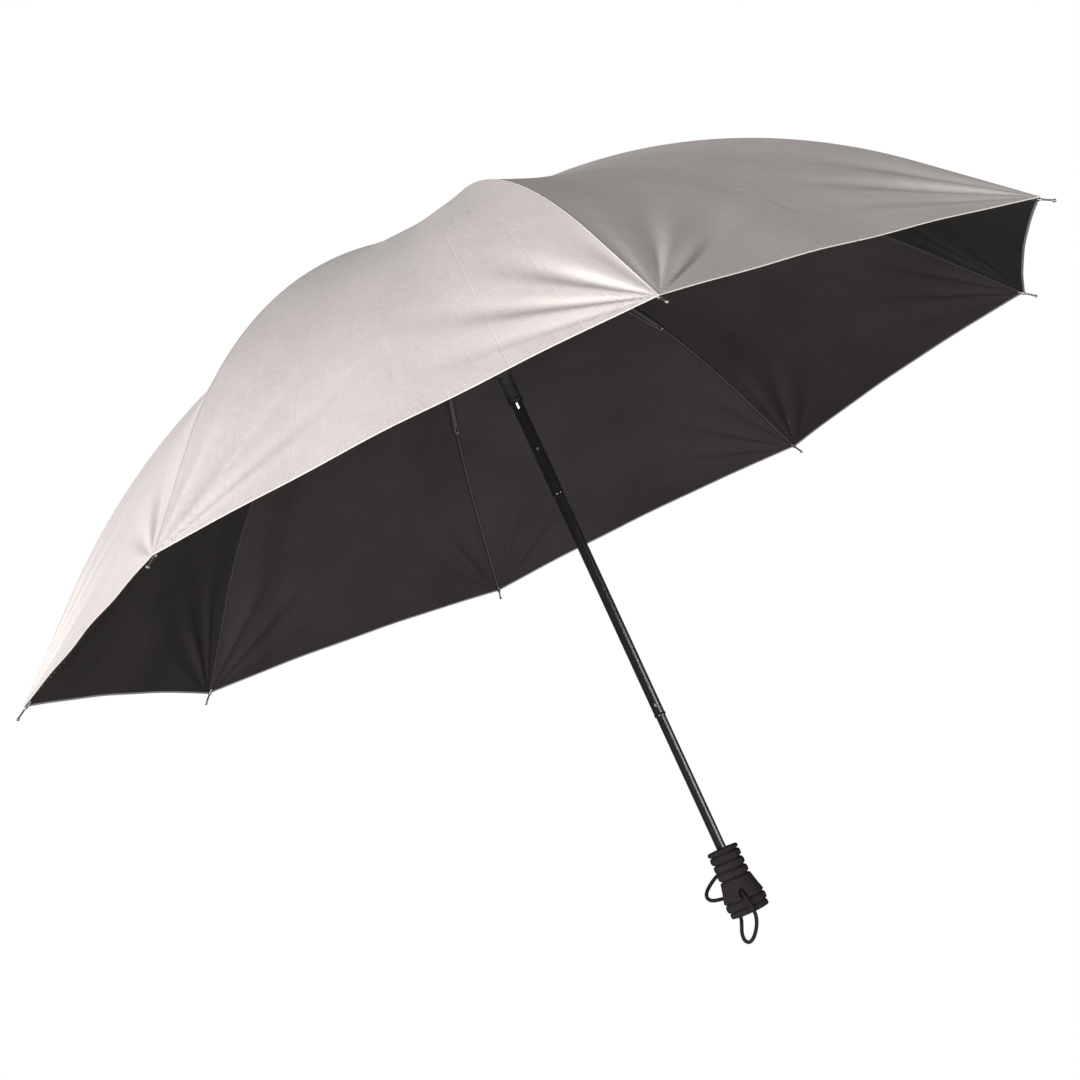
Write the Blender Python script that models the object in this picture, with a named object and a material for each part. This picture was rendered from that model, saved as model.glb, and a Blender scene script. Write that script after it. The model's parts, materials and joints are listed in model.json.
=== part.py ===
"""A compact folding umbrella reflector with eight three-piece ribs and a three-piece shaft.

Metres, +Z up the shaft towards the crown. The origin is on the shaft's axis, where a stand's
umbrella clamp holds it, just above the grip. Rib 1 points along +X and the others follow
anticlockwise, 45 degrees apart. Heights are built up from the plane of the rib tips.
"""

import math

import bmesh
import bpy
from mathutils import Matrix, Vector

# Canopy
RIBS = 8
CANOPY_RADIUS = 0.500
CANOPY_RISE = 0.261
DOME_RADIUS = 0.585
TIPS_Z = 0.320
FABRIC = 0.0010
SEAM_GAP = 0.0006
CORNER_SHARE = 0.984
HEM_SCALLOP = 0.0045
PANEL_SAG = 0.009
CANOPY_HOLE = 0.007
PANEL_ROWS = 14
PANEL_COLUMNS = 4

# Ribs: blades for the top and outer ribs, open-ended channels for the rest
BLADE_HALF = 0.0007
CHANNEL_HALF = 0.0018
CHANNEL_SLOT_HALF = 0.0010
RIB_HEIGHT = 0.0024
TOP_RIB_HEIGHT = 0.0030
RIB_TIP_HEIGHT = 0.0015
PIVOT_OFFSET = 0.0023
LUG_RADIUS = 0.0016
PIN_RADIUS = 0.0006
PIN_HOLE_RADIUS = 0.0009
FORK_DEPTH = 0.0062
INNER_JOINT_RADIUS = 0.170
INNER_JOINT_DEPTH = 0.0038
OUTER_JOINT_RADIUS = 0.3225
OUTER_JOINT_DEPTH = 0.0058
MID_RIB_BOW = 0.005
BALL_HALF = 0.0012

# Stretchers
STRETCHER_LENGTH = 0.133
STRETCHER_AT = 0.070
STRETCHER_TOP = 0.0028
STRETCHER_BOTTOM = 0.0012
STRETCHER_WEB = 0.0019
STRETCHER_OPEN_FROM = 0.030
STRETCHER_FORK = 0.014
STRETCHER_BLADE_HALF = 0.0008
STRETCHER_BLADE_END = 0.012
STRETCHER_CHANNEL_FROM = 0.008
STRETCHER_EYE_RADIUS = 0.0018

# Crown and runner rings
WIRE_RADIUS = 0.0005
EYE_HOLE_RADIUS = 0.00085
TOP_EYE_RADIUS = 0.0019
CROWN_WIRE_RADIUS = 0.011
CROWN_PIVOT_Z = TIPS_Z + 0.2465
RUNNER_WIRE_RADIUS = 0.0105
POCKET_HALF = 0.0008

# Shaft tubes: outer radius, inner radius
UPPER_TUBE = (0.0054, 0.0051)
MID_TUBE = (0.0049, 0.0046)
LOWER_TUBE = (0.0044, 0.0041)
RUNNING_BORE = 0.0057
UPPER_TUBE_END = TIPS_Z
UPPER_TUBE_TOP = TIPS_Z + 0.2520
MID_TUBE_END = TIPS_Z - 0.215
MID_TUBE_TOP = TIPS_Z + 0.055
LOWER_TUBE_TOP = TIPS_Z - 0.185
SLEEVE_END = TIPS_Z + 0.0925

# Spring buttons, on the side of the shaft between ribs 6 and 7
BUTTON_AZIMUTH = math.radians(-102.8)
BUTTON_RADIUS = 0.0014
BUTTON_HOLE_RADIUS = 0.0018
BUTTON_PROUD = 0.0008
LEAF_LENGTH = 0.016
LEAF_THICK = 0.0005
UPPER_BUTTON_Z = TIPS_Z + 0.0445
LOWER_BUTTON_Z = TIPS_Z - 0.205
CATCH_Z = TIPS_Z + 0.0885

# Grip, measured down from its top face
GRIP_TOP_Z = -0.020
GRIP_LENGTH = 0.0590
GRIP_BORE = 0.0047
GRIP_CORE_BORE = 0.0078
GRIP_CORE_FROM = 0.008
GRIP_CORE_TO = 0.053
GRIP_END_BORE = 0.0055
RING_RADIUS = 0.0140
RING_GROOVE = 0.0121
BELL_TOP = 0.0269
BELL_END = 0.0446
BELL_END_RADIUS = 0.0183
SKIRT_GROOVE = 0.0168
FIT_GAP = 0.0003

# Wrist cord
CORD_RADIUS = 0.00165
CORD_HOLE_RADIUS = 0.0025
CORD_SPACING = 0.0050

ROUND = 16
WIRE_STEPS = 24
WIRE_SIDES = 6
GRIP_STEPS = 20


# The canopy's shape
def tangent_angle():
    """The slope, in radians, at which the dome's arc meets the straight run to the tips."""
    fall = DOME_RADIUS - CANOPY_RISE
    reach = math.hypot(CANOPY_RADIUS, fall)
    return math.atan2(CANOPY_RADIUS, fall) - math.acos(DOME_RADIUS / reach)


TANGENT = tangent_angle()


def slope_at(radius):
    """The canopy's slope at a distance from the shaft, along a rib."""
    return min(math.asin(min(radius / DOME_RADIUS, 1)), TANGENT)


def canopy_height(radius):
    """The canopy's height over a rib, at a distance from the shaft."""
    centre = TIPS_Z + CANOPY_RISE - DOME_RADIUS
    arc_end = DOME_RADIUS * math.sin(TANGENT)
    if radius <= arc_end:
        return centre + math.sqrt(DOME_RADIUS**2 - radius**2)
    return centre + DOME_RADIUS * math.cos(TANGENT) - (radius - arc_end) * math.tan(TANGENT)


def under_canopy(radius, depth):
    """A point in the rib's plane, a depth below the canopy's outer face."""
    slope = slope_at(radius)
    return Vector((radius - depth * math.sin(slope), canopy_height(radius) - depth * math.cos(slope)))


# The linkage in one rib's plane: x is the distance from the shaft, y the height
CROWN_PIVOT = Vector((CROWN_WIRE_RADIUS, CROWN_PIVOT_Z))
INNER_JOINT = under_canopy(INNER_JOINT_RADIUS, INNER_JOINT_DEPTH)
OUTER_JOINT = under_canopy(OUTER_JOINT_RADIUS, OUTER_JOINT_DEPTH)
RIB_TIP = Vector((CANOPY_RADIUS, TIPS_Z))


def angle_of(line):
    return math.atan2(line.y, line.x)


def direction(angle):
    return Vector((math.cos(angle), math.sin(angle)))


TOP_SPAN = (INNER_JOINT - CROWN_PIVOT).length
TOP_RIB_LENGTH = math.sqrt(TOP_SPAN**2 - PIVOT_OFFSET**2)
TOP_RIB_ANGLE = angle_of(INNER_JOINT - CROWN_PIVOT) - math.asin(PIVOT_OFFSET / TOP_SPAN)
MID_RIB_LENGTH = (OUTER_JOINT - INNER_JOINT).length
MID_RIB_ANGLE = angle_of(OUTER_JOINT - INNER_JOINT)
OUTER_RIB_LENGTH = (RIB_TIP - OUTER_JOINT).length
OUTER_RIB_ANGLE = angle_of(RIB_TIP - OUTER_JOINT)
STRETCHER_END = CROWN_PIVOT + direction(TOP_RIB_ANGLE) * STRETCHER_AT
RUNNER_PIVOT_Z = STRETCHER_END.y - math.sqrt(
    STRETCHER_LENGTH**2 - (STRETCHER_END.x - RUNNER_WIRE_RADIUS) ** 2
)
RUNNER_PIVOT = Vector((RUNNER_WIRE_RADIUS, RUNNER_PIVOT_Z))
STRETCHER_ANGLE = angle_of(STRETCHER_END - RUNNER_PIVOT)


# Materials
def material(name, colour, roughness, metallic):
    made = bpy.data.materials.new(name)
    made.use_nodes = True
    shader = made.node_tree.nodes["Principled BSDF"]
    shader.inputs["Base Color"].default_value = (*colour, 1)
    shader.inputs["Roughness"].default_value = roughness
    shader.inputs["Metallic"].default_value = metallic
    made.diffuse_color = (*colour, 1)
    return made


# Mesh helpers
def clear_scene():
    for item in list(bpy.data.objects):
        bpy.data.objects.remove(item, do_unlink=True)


def finished_mesh(bm, name):
    """A mesh from a bmesh, with its faces pointing out and its round faces smooth."""
    bmesh.ops.remove_doubles(bm, verts=bm.verts, dist=1e-7)
    bmesh.ops.recalc_face_normals(bm, faces=bm.faces)
    mesh = bpy.data.meshes.new(name)
    bm.to_mesh(mesh)
    bm.free()
    mesh.shade_smooth()
    mesh.set_sharp_from_angle(angle=math.radians(35))
    return mesh


def place(name, mesh, finish, location=(0, 0, 0), rotation=(0, 0, 0)):
    made = bpy.data.objects.new(name, mesh)
    bpy.context.scene.collection.objects.link(made)
    made.location = location
    made.rotation_euler = rotation
    if not mesh.materials:
        mesh.materials.append(finish)
    return made


def turned(name, profile, closed=True, steps=ROUND):
    """A solid of revolution: a closed profile clear of the axis, or an open one that ends on it."""
    bm = bmesh.new()
    points = [bm.verts.new((radius, 0, height)) for radius, height in profile]
    edges = [bm.edges.new(pair) for pair in zip(points, points[1:])]
    if closed:
        edges.append(bm.edges.new((points[-1], points[0])))
    bmesh.ops.spin(
        bm,
        geom=points + edges,
        cent=(0, 0, 0),
        axis=(0, 0, 1),
        angle=2 * math.pi,
        steps=steps,
        use_merge=True,
        use_duplicate=False,
    )
    bmesh.ops.remove_doubles(bm, verts=bm.verts, dist=1e-6)
    return finished_mesh(bm, name)


def plate(name, outline, half_width):
    """An outline in the x, z plane, extruded to both sides of it."""
    bm = bmesh.new()
    face = bm.faces.new([bm.verts.new((x, -half_width, z)) for x, z in outline])
    grown = bmesh.ops.extrude_face_region(bm, geom=[face])
    top = [v for v in grown["geom"] if isinstance(v, bmesh.types.BMVert)]
    bmesh.ops.translate(bm, verts=top, vec=(0, 2 * half_width, 0))
    return finished_mesh(bm, name)


def rod(name, radius, length, matrix, steps=10):
    """A round bar centred on a matrix's origin, along the matrix's z."""
    bm = bmesh.new()
    bmesh.ops.create_cone(
        bm,
        cap_ends=True,
        segments=steps,
        radius1=radius,
        radius2=radius,
        depth=length,
        matrix=matrix,
    )
    return finished_mesh(bm, name)


def cross_rod(name, x, z, radius, length):
    """A round bar across a rib, along y."""
    return rod(name, radius, length, Matrix.Translation((x, 0, z)) @ Matrix.Rotation(math.pi / 2, 4, "X"))


def block(name, low, high):
    bm = bmesh.new()
    size = Vector(high) - Vector(low)
    middle = (Vector(high) + Vector(low)) / 2
    matrix = Matrix.Translation(middle) @ Matrix.Diagonal((*size, 1))
    bmesh.ops.create_cube(bm, size=1, matrix=matrix)
    return finished_mesh(bm, name)


def combined(mesh, tool, operation):
    """A mesh joined with another, or cut by it."""
    base = bpy.data.objects.new("base", mesh)
    other = bpy.data.objects.new("tool", tool)
    for item in (base, other):
        bpy.context.scene.collection.objects.link(item)
    boolean = base.modifiers.new("boolean", "BOOLEAN")
    boolean.operation = operation
    boolean.object = other
    boolean.solver = "EXACT"
    shape = base.evaluated_get(bpy.context.evaluated_depsgraph_get())
    bm = bmesh.new()
    bm.from_mesh(shape.to_mesh())
    bmesh.ops.triangulate(bm, faces=bm.faces)
    bmesh.ops.dissolve_degenerate(bm, edges=bm.edges, dist=1e-7)
    name = mesh.name
    for item in (base, other):
        bpy.data.objects.remove(item)
    result = bpy.data.meshes.new(name)
    bm.to_mesh(result)
    bm.free()
    result.shade_smooth()
    result.set_sharp_from_angle(angle=math.radians(35))
    return result


def cut(mesh, *tools):
    for tool in tools:
        mesh = combined(mesh, tool, "DIFFERENCE")
    return mesh


def join(mesh, *tools):
    for tool in tools:
        mesh = combined(mesh, tool, "UNION")
    return mesh


def arc(centre, radius, start, end, steps=4):
    """Points along an arc, with angles in degrees."""
    return [
        (
            centre[0] + radius * math.cos(math.radians(start + (end - start) * i / steps)),
            centre[1] + radius * math.sin(math.radians(start + (end - start) * i / steps)),
        )
        for i in range(steps + 1)
    ]


# Rib parts: x runs along the part from its inner pivot, z points to the canopy
def top_rib():
    """A blade from the crown's wire to the inner joint, whose pivot stands above the blade."""
    half = TOP_RIB_HEIGHT / 2
    end = TOP_RIB_LENGTH
    outline = (
        arc((0, 0), TOP_EYE_RADIUS, 130, 230)
        + [(0.004, -half), (end + LUG_RADIUS, -half)]
        + arc((end, PIVOT_OFFSET), LUG_RADIUS, 0, 180)
        + [(end - LUG_RADIUS - 0.002, half), (0.004, half)]
    )
    return cut(
        plate("top_rib", outline, BLADE_HALF),
        cross_rod("eye", 0, 0, EYE_HOLE_RADIUS, 0.01),
        cross_rod("pin_hole", end, PIVOT_OFFSET, PIN_HOLE_RADIUS, 0.01),
    )


def mid_centre(x):
    """The height of the middle rib's centre line, which crosses from below one pivot to above the other."""
    share = x / MID_RIB_LENGTH
    return PIVOT_OFFSET * (2 * share - 1) + 4 * MID_RIB_BOW * share * (1 - share)


def mid_rib():
    """A bowed bar with a fork and a pin at each end."""
    half = RIB_HEIGHT / 2
    end = MID_RIB_LENGTH
    inset = LUG_RADIUS + 0.003
    stations = [inset + (end - 2 * inset) * i / 7 for i in range(8)]
    upper = [(x, mid_centre(x) + half) for x in reversed(stations)]
    lower = [(x, mid_centre(x) - half) for x in stations]
    outline = (
        [(-LUG_RADIUS, -PIVOT_OFFSET - half)]
        + lower
        + arc((end, 0), LUG_RADIUS, 180, 360)
        + [(end + LUG_RADIUS, PIVOT_OFFSET + half)]
        + upper
        + arc((0, 0), LUG_RADIUS, 0, 180)
    )
    wide = 0.01
    slots = [
        block("slot", (-wide, -CHANNEL_SLOT_HALF, -wide), (FORK_DEPTH, CHANNEL_SLOT_HALF, wide)),
        block("slot", (end - FORK_DEPTH, -CHANNEL_SLOT_HALF, -wide), (end + wide, CHANNEL_SLOT_HALF, wide)),
    ]
    pins = [cross_rod("pin", x, 0, PIN_RADIUS, 2 * CHANNEL_HALF - 0.0004) for x in (0, end)]
    return join(cut(plate("mid_rib", outline, CHANNEL_HALF), *slots), *pins)


def outer_rib():
    """A tapering blade from the outer joint to the ball tip, following the canopy."""
    along = direction(OUTER_RIB_ANGLE)
    across = Vector((-along.y, along.x))
    first = OUTER_JOINT_RADIUS + 0.004
    run = CORNER_SHARE * CANOPY_RADIUS - first
    radii = [OUTER_JOINT_RADIUS - 0.001] + [first + run * i / 9 for i in range(10)]
    steps = len(radii) - 1
    centre = []
    half = []
    for i, radius in enumerate(radii):
        point = under_canopy(radius, 0.0034 - 0.0012 * i / steps) - OUTER_JOINT
        centre.append((point.dot(along), point.dot(across)))
        half.append((RIB_HEIGHT + (RIB_TIP_HEIGHT - RIB_HEIGHT) * i / steps) / 2)
    centre.append((OUTER_RIB_LENGTH - 0.0026, 0.0))
    half.append(0.4 * RIB_TIP_HEIGHT)
    upper = [(x, z + h) for (x, z), h in zip(centre, half)]
    lower = [(x, z - h) for (x, z), h in zip(centre, half)]
    tip = arc((OUTER_RIB_LENGTH, 0), BALL_HALF, -140, 140, 8)
    outline = arc((0, 0), LUG_RADIUS, 180, 360) + lower[1:] + tip + upper[::-1]
    return cut(
        plate("outer_rib", outline, BLADE_HALF),
        cross_rod("pin_hole", 0, 0, PIN_HOLE_RADIUS, 0.01),
    )


def stretcher():
    """A channel, open below, that takes the top rib as it folds, on a blade with an eye for the runner's wire."""
    end = STRETCHER_LENGTH + LUG_RADIUS
    body = plate(
        "stretcher",
        [
            (STRETCHER_CHANNEL_FROM, -STRETCHER_BOTTOM),
            (end - 0.001, -STRETCHER_BOTTOM),
            (end, 0),
            (end, STRETCHER_BOTTOM),
            (end - 0.001, STRETCHER_TOP),
            (STRETCHER_CHANNEL_FROM, STRETCHER_TOP),
        ],
        CHANNEL_HALF,
    )
    wide = 0.01
    slot = CHANNEL_SLOT_HALF
    trough = block("trough", (STRETCHER_OPEN_FROM, -slot, -wide), (end + wide, slot, STRETCHER_WEB))
    fork = block("fork", (STRETCHER_LENGTH - STRETCHER_FORK, -slot, -wide), (end + wide, slot, wide))
    blade = plate(
        "blade",
        arc((0, 0), STRETCHER_EYE_RADIUS, 90, 270)
        + [
            (STRETCHER_CHANNEL_FROM - 0.003, -0.0010),
            (STRETCHER_BLADE_END, -0.0008),
            (STRETCHER_BLADE_END, 0.0020),
            (STRETCHER_CHANNEL_FROM - 0.003, STRETCHER_EYE_RADIUS),
        ],
        STRETCHER_BLADE_HALF,
    )
    eye = cross_rod("eye", 0, 0, EYE_HOLE_RADIUS, 0.01)
    return cut(join(cut(body, trough, fork), blade), eye)


def canopy_panel():
    """One gore between ribs 1 and 2, with its scalloped hem."""
    half_turn = math.pi / RIBS
    along = (math.cos(half_turn), math.sin(half_turn))
    across = (-along[1], along[0])
    bm = bmesh.new()
    layers = []
    for depth in (0, FABRIC):
        rows = []
        for row in range(PANEL_ROWS + 1):
            points = []
            for column in range(PANEL_COLUMNS + 1):
                side = 2 * column / PANEL_COLUMNS - 1
                belly = 1 - side * side
                hem = CORNER_SHARE * CANOPY_RADIUS - HEM_SCALLOP * belly
                radius = CANOPY_HOLE + (hem - CANOPY_HOLE) * row / PANEL_ROWS
                slope = slope_at(radius)
                out = radius * math.cos(half_turn) - depth * math.sin(slope)
                span = radius * math.sin(half_turn) - SEAM_GAP / 2
                height = canopy_height(radius) - depth * math.cos(slope)
                height -= PANEL_SAG * belly * math.sin(math.pi * radius / CANOPY_RADIUS)
                spot = [out * along[i] + side * span * across[i] for i in (0, 1)]
                points.append(bm.verts.new((*spot, height)))
            rows.append(points)
        layers.append(rows)
    for rows in layers:
        for near, far in zip(rows, rows[1:]):
            for i in range(PANEL_COLUMNS):
                bm.faces.new((near[i], far[i], far[i + 1], near[i + 1]))
    top, under = layers
    border = [
        [(row[0], below[0]) for row, below in zip(top, under)],
        [(row[-1], below[-1]) for row, below in zip(top, under)],
        list(zip(top[0], under[0])),
        list(zip(top[-1], under[-1])),
    ]
    for strip in border:
        for (a, b), (c, d) in zip(strip, strip[1:]):
            bm.faces.new((a, c, d, b))
    return finished_mesh(bm, "canopy_panel")


# Crown, runner, rings and cap
def slots(inner, half_width, low, high):
    """Eight radial boxes that open outwards, as one cutter."""
    bm = bmesh.new()
    for i in range(RIBS):
        size = (0.02 - inner, 2 * half_width, high - low)
        middle = ((0.02 + inner) / 2, 0, (high + low) / 2)
        turn = Matrix.Rotation(2 * math.pi * i / RIBS, 4, "Z")
        bmesh.ops.create_cube(
            bm,
            size=1,
            matrix=turn @ Matrix.Translation(middle) @ Matrix.Diagonal((*size, 1)),
        )
    return finished_mesh(bm, "slots")


def wire_ring(name, radius, height):
    """A ring of wire whose straight pieces sit in the eyes of the ribs."""
    bm = bmesh.new()
    verts = [
        bm.verts.new((radius + x, 0, height + z))
        for x, z in arc((0, 0), WIRE_RADIUS, 0, 360, WIRE_SIDES)[:-1]
    ]
    edges = [bm.edges.new(pair) for pair in zip(verts, verts[1:] + verts[:1])]
    bmesh.ops.rotate(
        bm,
        verts=bm.verts,
        cent=(0, 0, 0),
        matrix=Matrix.Rotation(math.pi / WIRE_STEPS, 3, "Z"),
    )
    bmesh.ops.spin(
        bm,
        geom=verts + edges,
        cent=(0, 0, 0),
        axis=(0, 0, 1),
        angle=2 * math.pi,
        steps=WIRE_STEPS,
        use_merge=True,
    )
    bmesh.ops.remove_doubles(bm, verts=bm.verts, dist=1e-6)
    return finished_mesh(bm, name)


def crown():
    low = CROWN_PIVOT_Z - 0.004
    high = CROWN_PIVOT_Z + 0.011
    pocket = CROWN_PIVOT_Z + POCKET_HALF
    profile = [
        (0, high),
        (0.008, high),
        (0.0135, high - 0.002),
        (0.0135, low),
        (CROWN_WIRE_RADIUS + POCKET_HALF, low),
        (CROWN_WIRE_RADIUS + POCKET_HALF, pocket),
        (CROWN_WIRE_RADIUS - POCKET_HALF, pocket),
        (CROWN_WIRE_RADIUS - POCKET_HALF, low),
        (RUNNING_BORE, low),
        (RUNNING_BORE, UPPER_TUBE_TOP + FIT_GAP),
        (0, UPPER_TUBE_TOP + FIT_GAP),
    ]
    body = turned("crown", profile, closed=False, steps=2 * ROUND)
    return cut(body, slots(0.0085, BLADE_HALF + FIT_GAP, low - 0.01, CROWN_PIVOT_Z + 0.003))


def runner():
    """A sleeve with a slotted hub for the stretchers and a flange that rests on the catch."""
    floor = RUNNER_PIVOT_Z - 0.005
    high = RUNNER_PIVOT_Z + 0.003
    pocket = RUNNER_PIVOT_Z - POCKET_HALF
    profile = [
        (RUNNING_BORE, SLEEVE_END),
        (0.00715, SLEEVE_END),
        (0.00715, SLEEVE_END + 0.002),
        (0.00635, SLEEVE_END + 0.003),
        (0.00635, floor - 0.003),
        (0.0090, floor),
        (0.0130, floor + 0.001),
        (0.0130, high),
        (RUNNER_WIRE_RADIUS + POCKET_HALF, high),
        (RUNNER_WIRE_RADIUS + POCKET_HALF, pocket),
        (RUNNER_WIRE_RADIUS - POCKET_HALF, pocket),
        (RUNNER_WIRE_RADIUS - POCKET_HALF, high),
        (RUNNING_BORE, high),
    ]
    body = turned("runner", profile, steps=2 * ROUND)
    half = STRETCHER_BLADE_HALF + FIT_GAP
    return cut(body, slots(0.0080, half, RUNNER_PIVOT_Z - 0.0024, high + 0.01))


def top_cap():
    """A low cap over the canopy's centre, with a flat top and a stem down to the crown."""
    low = TIPS_Z + CANOPY_RISE + 0.0004
    stem = CROWN_PIVOT_Z + 0.011 + FIT_GAP
    profile = [
        (0, stem),
        (0.0025, stem),
        (0.0025, low),
        (0.0125, low),
        (0.0125, low + 0.0015),
        (0.0105, low + 0.0055),
        (0.0075, low + 0.0080),
        (0.0060, low + 0.0084),
        (0, low + 0.0084),
    ]
    return turned("top_cap", profile, closed=False)


def canopy_washer():
    low = CROWN_PIVOT_Z + 0.011 + FIT_GAP
    ring = [(0.003, low), (0.0115, low), (0.0115, low + 0.0009), (0.003, low + 0.0009)]
    return turned("canopy_washer", ring)


# Shaft
def tube(name, radii, low, high, steps=ROUND):
    outer, inner = radii
    return turned(name, [(inner, low), (outer, low), (outer, high), (inner, high)], steps=steps)


def across_shaft(name, radius, inner, outer, height):
    """A round bar that points outwards from the shaft on the buttons' side."""
    turn = Matrix.Rotation(BUTTON_AZIMUTH, 4, "Z") @ Matrix.Rotation(math.pi / 2, 4, "Y")
    shift = Matrix.Translation((0, 0, (inner + outer) / 2))
    return rod(name, radius, outer - inner, Matrix.Translation((0, 0, height)) @ turn @ shift)


def button(name, tube_radii, proud_of, height):
    """A round button on a leaf spring that lies inside its tube."""
    leaf_face = tube_radii[1] - 0.0016
    pin = across_shaft(name, BUTTON_RADIUS, leaf_face - 0.0002, proud_of + BUTTON_PROUD, height)
    leaf = block(
        "leaf",
        (leaf_face - LEAF_THICK, -0.0012, height - LEAF_LENGTH),
        (leaf_face, 0.0012, height + 0.0018),
    )
    leaf.transform(Matrix.Rotation(BUTTON_AZIMUTH, 4, "Z"))
    return join(pin, leaf)


def runner_catch():
    """A sprung wedge that stands out under the runner's flange and holds the canopy open."""
    outline = [
        (0.0028, -0.016),
        (0.0033, -0.016),
        (0.0036, -0.0040),
        (0.0064, 0.0020),
        (0.0064, 0.0034),
        (0.0028, 0.0034),
    ]
    wedge = plate("runner_catch", outline, 0.0009)
    wedge.transform(Matrix.Translation((0, 0, CATCH_Z)) @ Matrix.Rotation(BUTTON_AZIMUTH, 4, "Z"))
    return wedge


def button_hole(height):
    return across_shaft("hole", BUTTON_HOLE_RADIUS, 0.002, 0.008, height)


def catch_slot():
    slot = block("catch_slot", (0.0045, -0.0013, CATCH_Z - 0.0042), (0.007, 0.0013, CATCH_Z + 0.0040))
    slot.transform(Matrix.Rotation(BUTTON_AZIMUTH, 4, "Z"))
    return slot


# Grip and cord: u points to the side, w to the front and down below the grip's top face
def grip_point(u, w, down):
    side = Vector((math.cos(BUTTON_AZIMUTH + math.pi / 2), math.sin(BUTTON_AZIMUTH + math.pi / 2), 0))
    front = Vector((math.cos(BUTTON_AZIMUTH), math.sin(BUTTON_AZIMUTH), 0))
    return side * u + front * w + Vector((0, 0, GRIP_TOP_Z - down))


def grip_ring(top, bottom, radius, groove):
    """The rounded outline of one ring of the grip, ending in the groove below it."""
    edge = 0.0010
    return [
        (radius - edge, top),
        (radius, top + edge),
        (radius, bottom - edge),
        (radius - edge, bottom),
        (groove, bottom + 0.0003),
    ]


def grip_foam():
    """The ribbed grip: four rings, a bell, two rings of its skirt and a round end."""
    outline = grip_ring(0.0, 0.0036, RING_RADIUS, RING_GROOVE)
    for top, bottom in ((0.0046, 0.0108), (0.0120, 0.0183), (0.0195, 0.0257)):
        outline += grip_ring(top, bottom, RING_RADIUS, RING_GROOVE)
    outline += [
        (0.0136, BELL_TOP),
        (0.0141, BELL_TOP + 0.0008),
        (0.0160, 0.0355),
        (BELL_END_RADIUS, BELL_END),
        (SKIRT_GROOVE, BELL_END + 0.0006),
    ]
    outline += grip_ring(0.0464, 0.0526, 0.0184, 0.0164)
    outline += [
        (0.0168, 0.0540),
        (0.0174, 0.0558),
        (0.0162, 0.0576),
        (0.0130, 0.0588),
        (GRIP_END_BORE, GRIP_LENGTH),
        (GRIP_END_BORE, GRIP_CORE_TO),
        (GRIP_CORE_BORE, GRIP_CORE_TO),
        (GRIP_CORE_BORE, GRIP_CORE_FROM),
        (GRIP_BORE, GRIP_CORE_FROM),
        (GRIP_BORE, 0.0),
    ]
    profile = [(radius, GRIP_TOP_Z - down) for radius, down in outline]
    body = turned("grip_foam", profile, steps=GRIP_STEPS)
    return cut(body, *[cord_hole(*ends) for ends in CORD_HOLES])


def grip_core():
    """The plastic core that joins the shaft to the foam."""
    top = GRIP_TOP_Z - GRIP_CORE_FROM - FIT_GAP
    bottom = GRIP_TOP_Z - GRIP_CORE_TO + FIT_GAP
    radius = GRIP_CORE_BORE - FIT_GAP
    bore = LOWER_TUBE[0] + FIT_GAP
    floor = bottom + 0.004
    profile = [(0, floor), (bore, floor), (bore, top), (radius, top), (radius, bottom), (0, bottom)]
    return turned("grip_core", profile, closed=False)


def grip_end_cap():
    radius = GRIP_END_BORE - FIT_GAP
    low = GRIP_TOP_Z - GRIP_LENGTH + 0.0003
    high = GRIP_TOP_Z - GRIP_CORE_TO
    profile = [(0, low), (radius - 0.0006, low), (radius, low + 0.0006), (radius, high), (0, high)]
    return turned("grip_end_cap", profile, closed=False)


def cord_hole(start, end):
    """A round hole in the grip between two points."""
    first = grip_point(*start)
    last = grip_point(*end)
    turn = (last - first).to_track_quat("Z", "Y").to_matrix().to_4x4()
    matrix = Matrix.Translation((first + last) / 2) @ turn
    return rod("cord_hole", CORD_HOLE_RADIUS, (last - first).length, matrix)


CORD_HOLES = [
    ((0.0, 0.0085, 0.0330), (0.0, 0.0215, 0.0449)),
    ((-0.0092, 0.0018, 0.0545), (-0.0096, 0.0018, 0.0630)),
    ((-0.0085, -0.0056, 0.0187), (-0.0160, -0.0084, 0.0206)),
    ((-0.0090, -0.0005, 0.0397), (-0.0220, -0.0005, 0.0386)),
]

LOWER_LOOP = [
    (0.0000, 0.0105, 0.0348),
    (0.0001, 0.0140, 0.0380),
    (0.0004, 0.0180, 0.0413),
    (0.0013, 0.0207, 0.0454),
    (0.0022, 0.0216, 0.0504),
    (0.0027, 0.0213, 0.0556),
    (0.0026, 0.0200, 0.0608),
    (0.0010, 0.0175, 0.0665),
    (-0.0025, 0.0146, 0.0728),
    (-0.0072, 0.0118, 0.0782),
    (-0.0118, 0.0090, 0.0803),
    (-0.0148, 0.0066, 0.0776),
    (-0.0145, 0.0044, 0.0718),
    (-0.0122, 0.0026, 0.0661),
    (-0.0102, 0.0019, 0.0612),
    (-0.0093, 0.0018, 0.0562),
]

SIDE_LOOP = [
    (-0.0096, -0.0060, 0.0190),
    (-0.0130, -0.0073, 0.0199),
    (-0.0170, -0.0080, 0.0216),
    (-0.0215, -0.0074, 0.0242),
    (-0.0260, -0.0058, 0.0274),
    (-0.0288, -0.0040, 0.0310),
    (-0.0286, -0.0025, 0.0346),
    (-0.0258, -0.0014, 0.0370),
    (-0.0218, -0.0008, 0.0382),
    (-0.0170, -0.0005, 0.0391),
    (-0.0120, -0.0005, 0.0395),
    (-0.0102, -0.0005, 0.0396),
]


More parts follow.
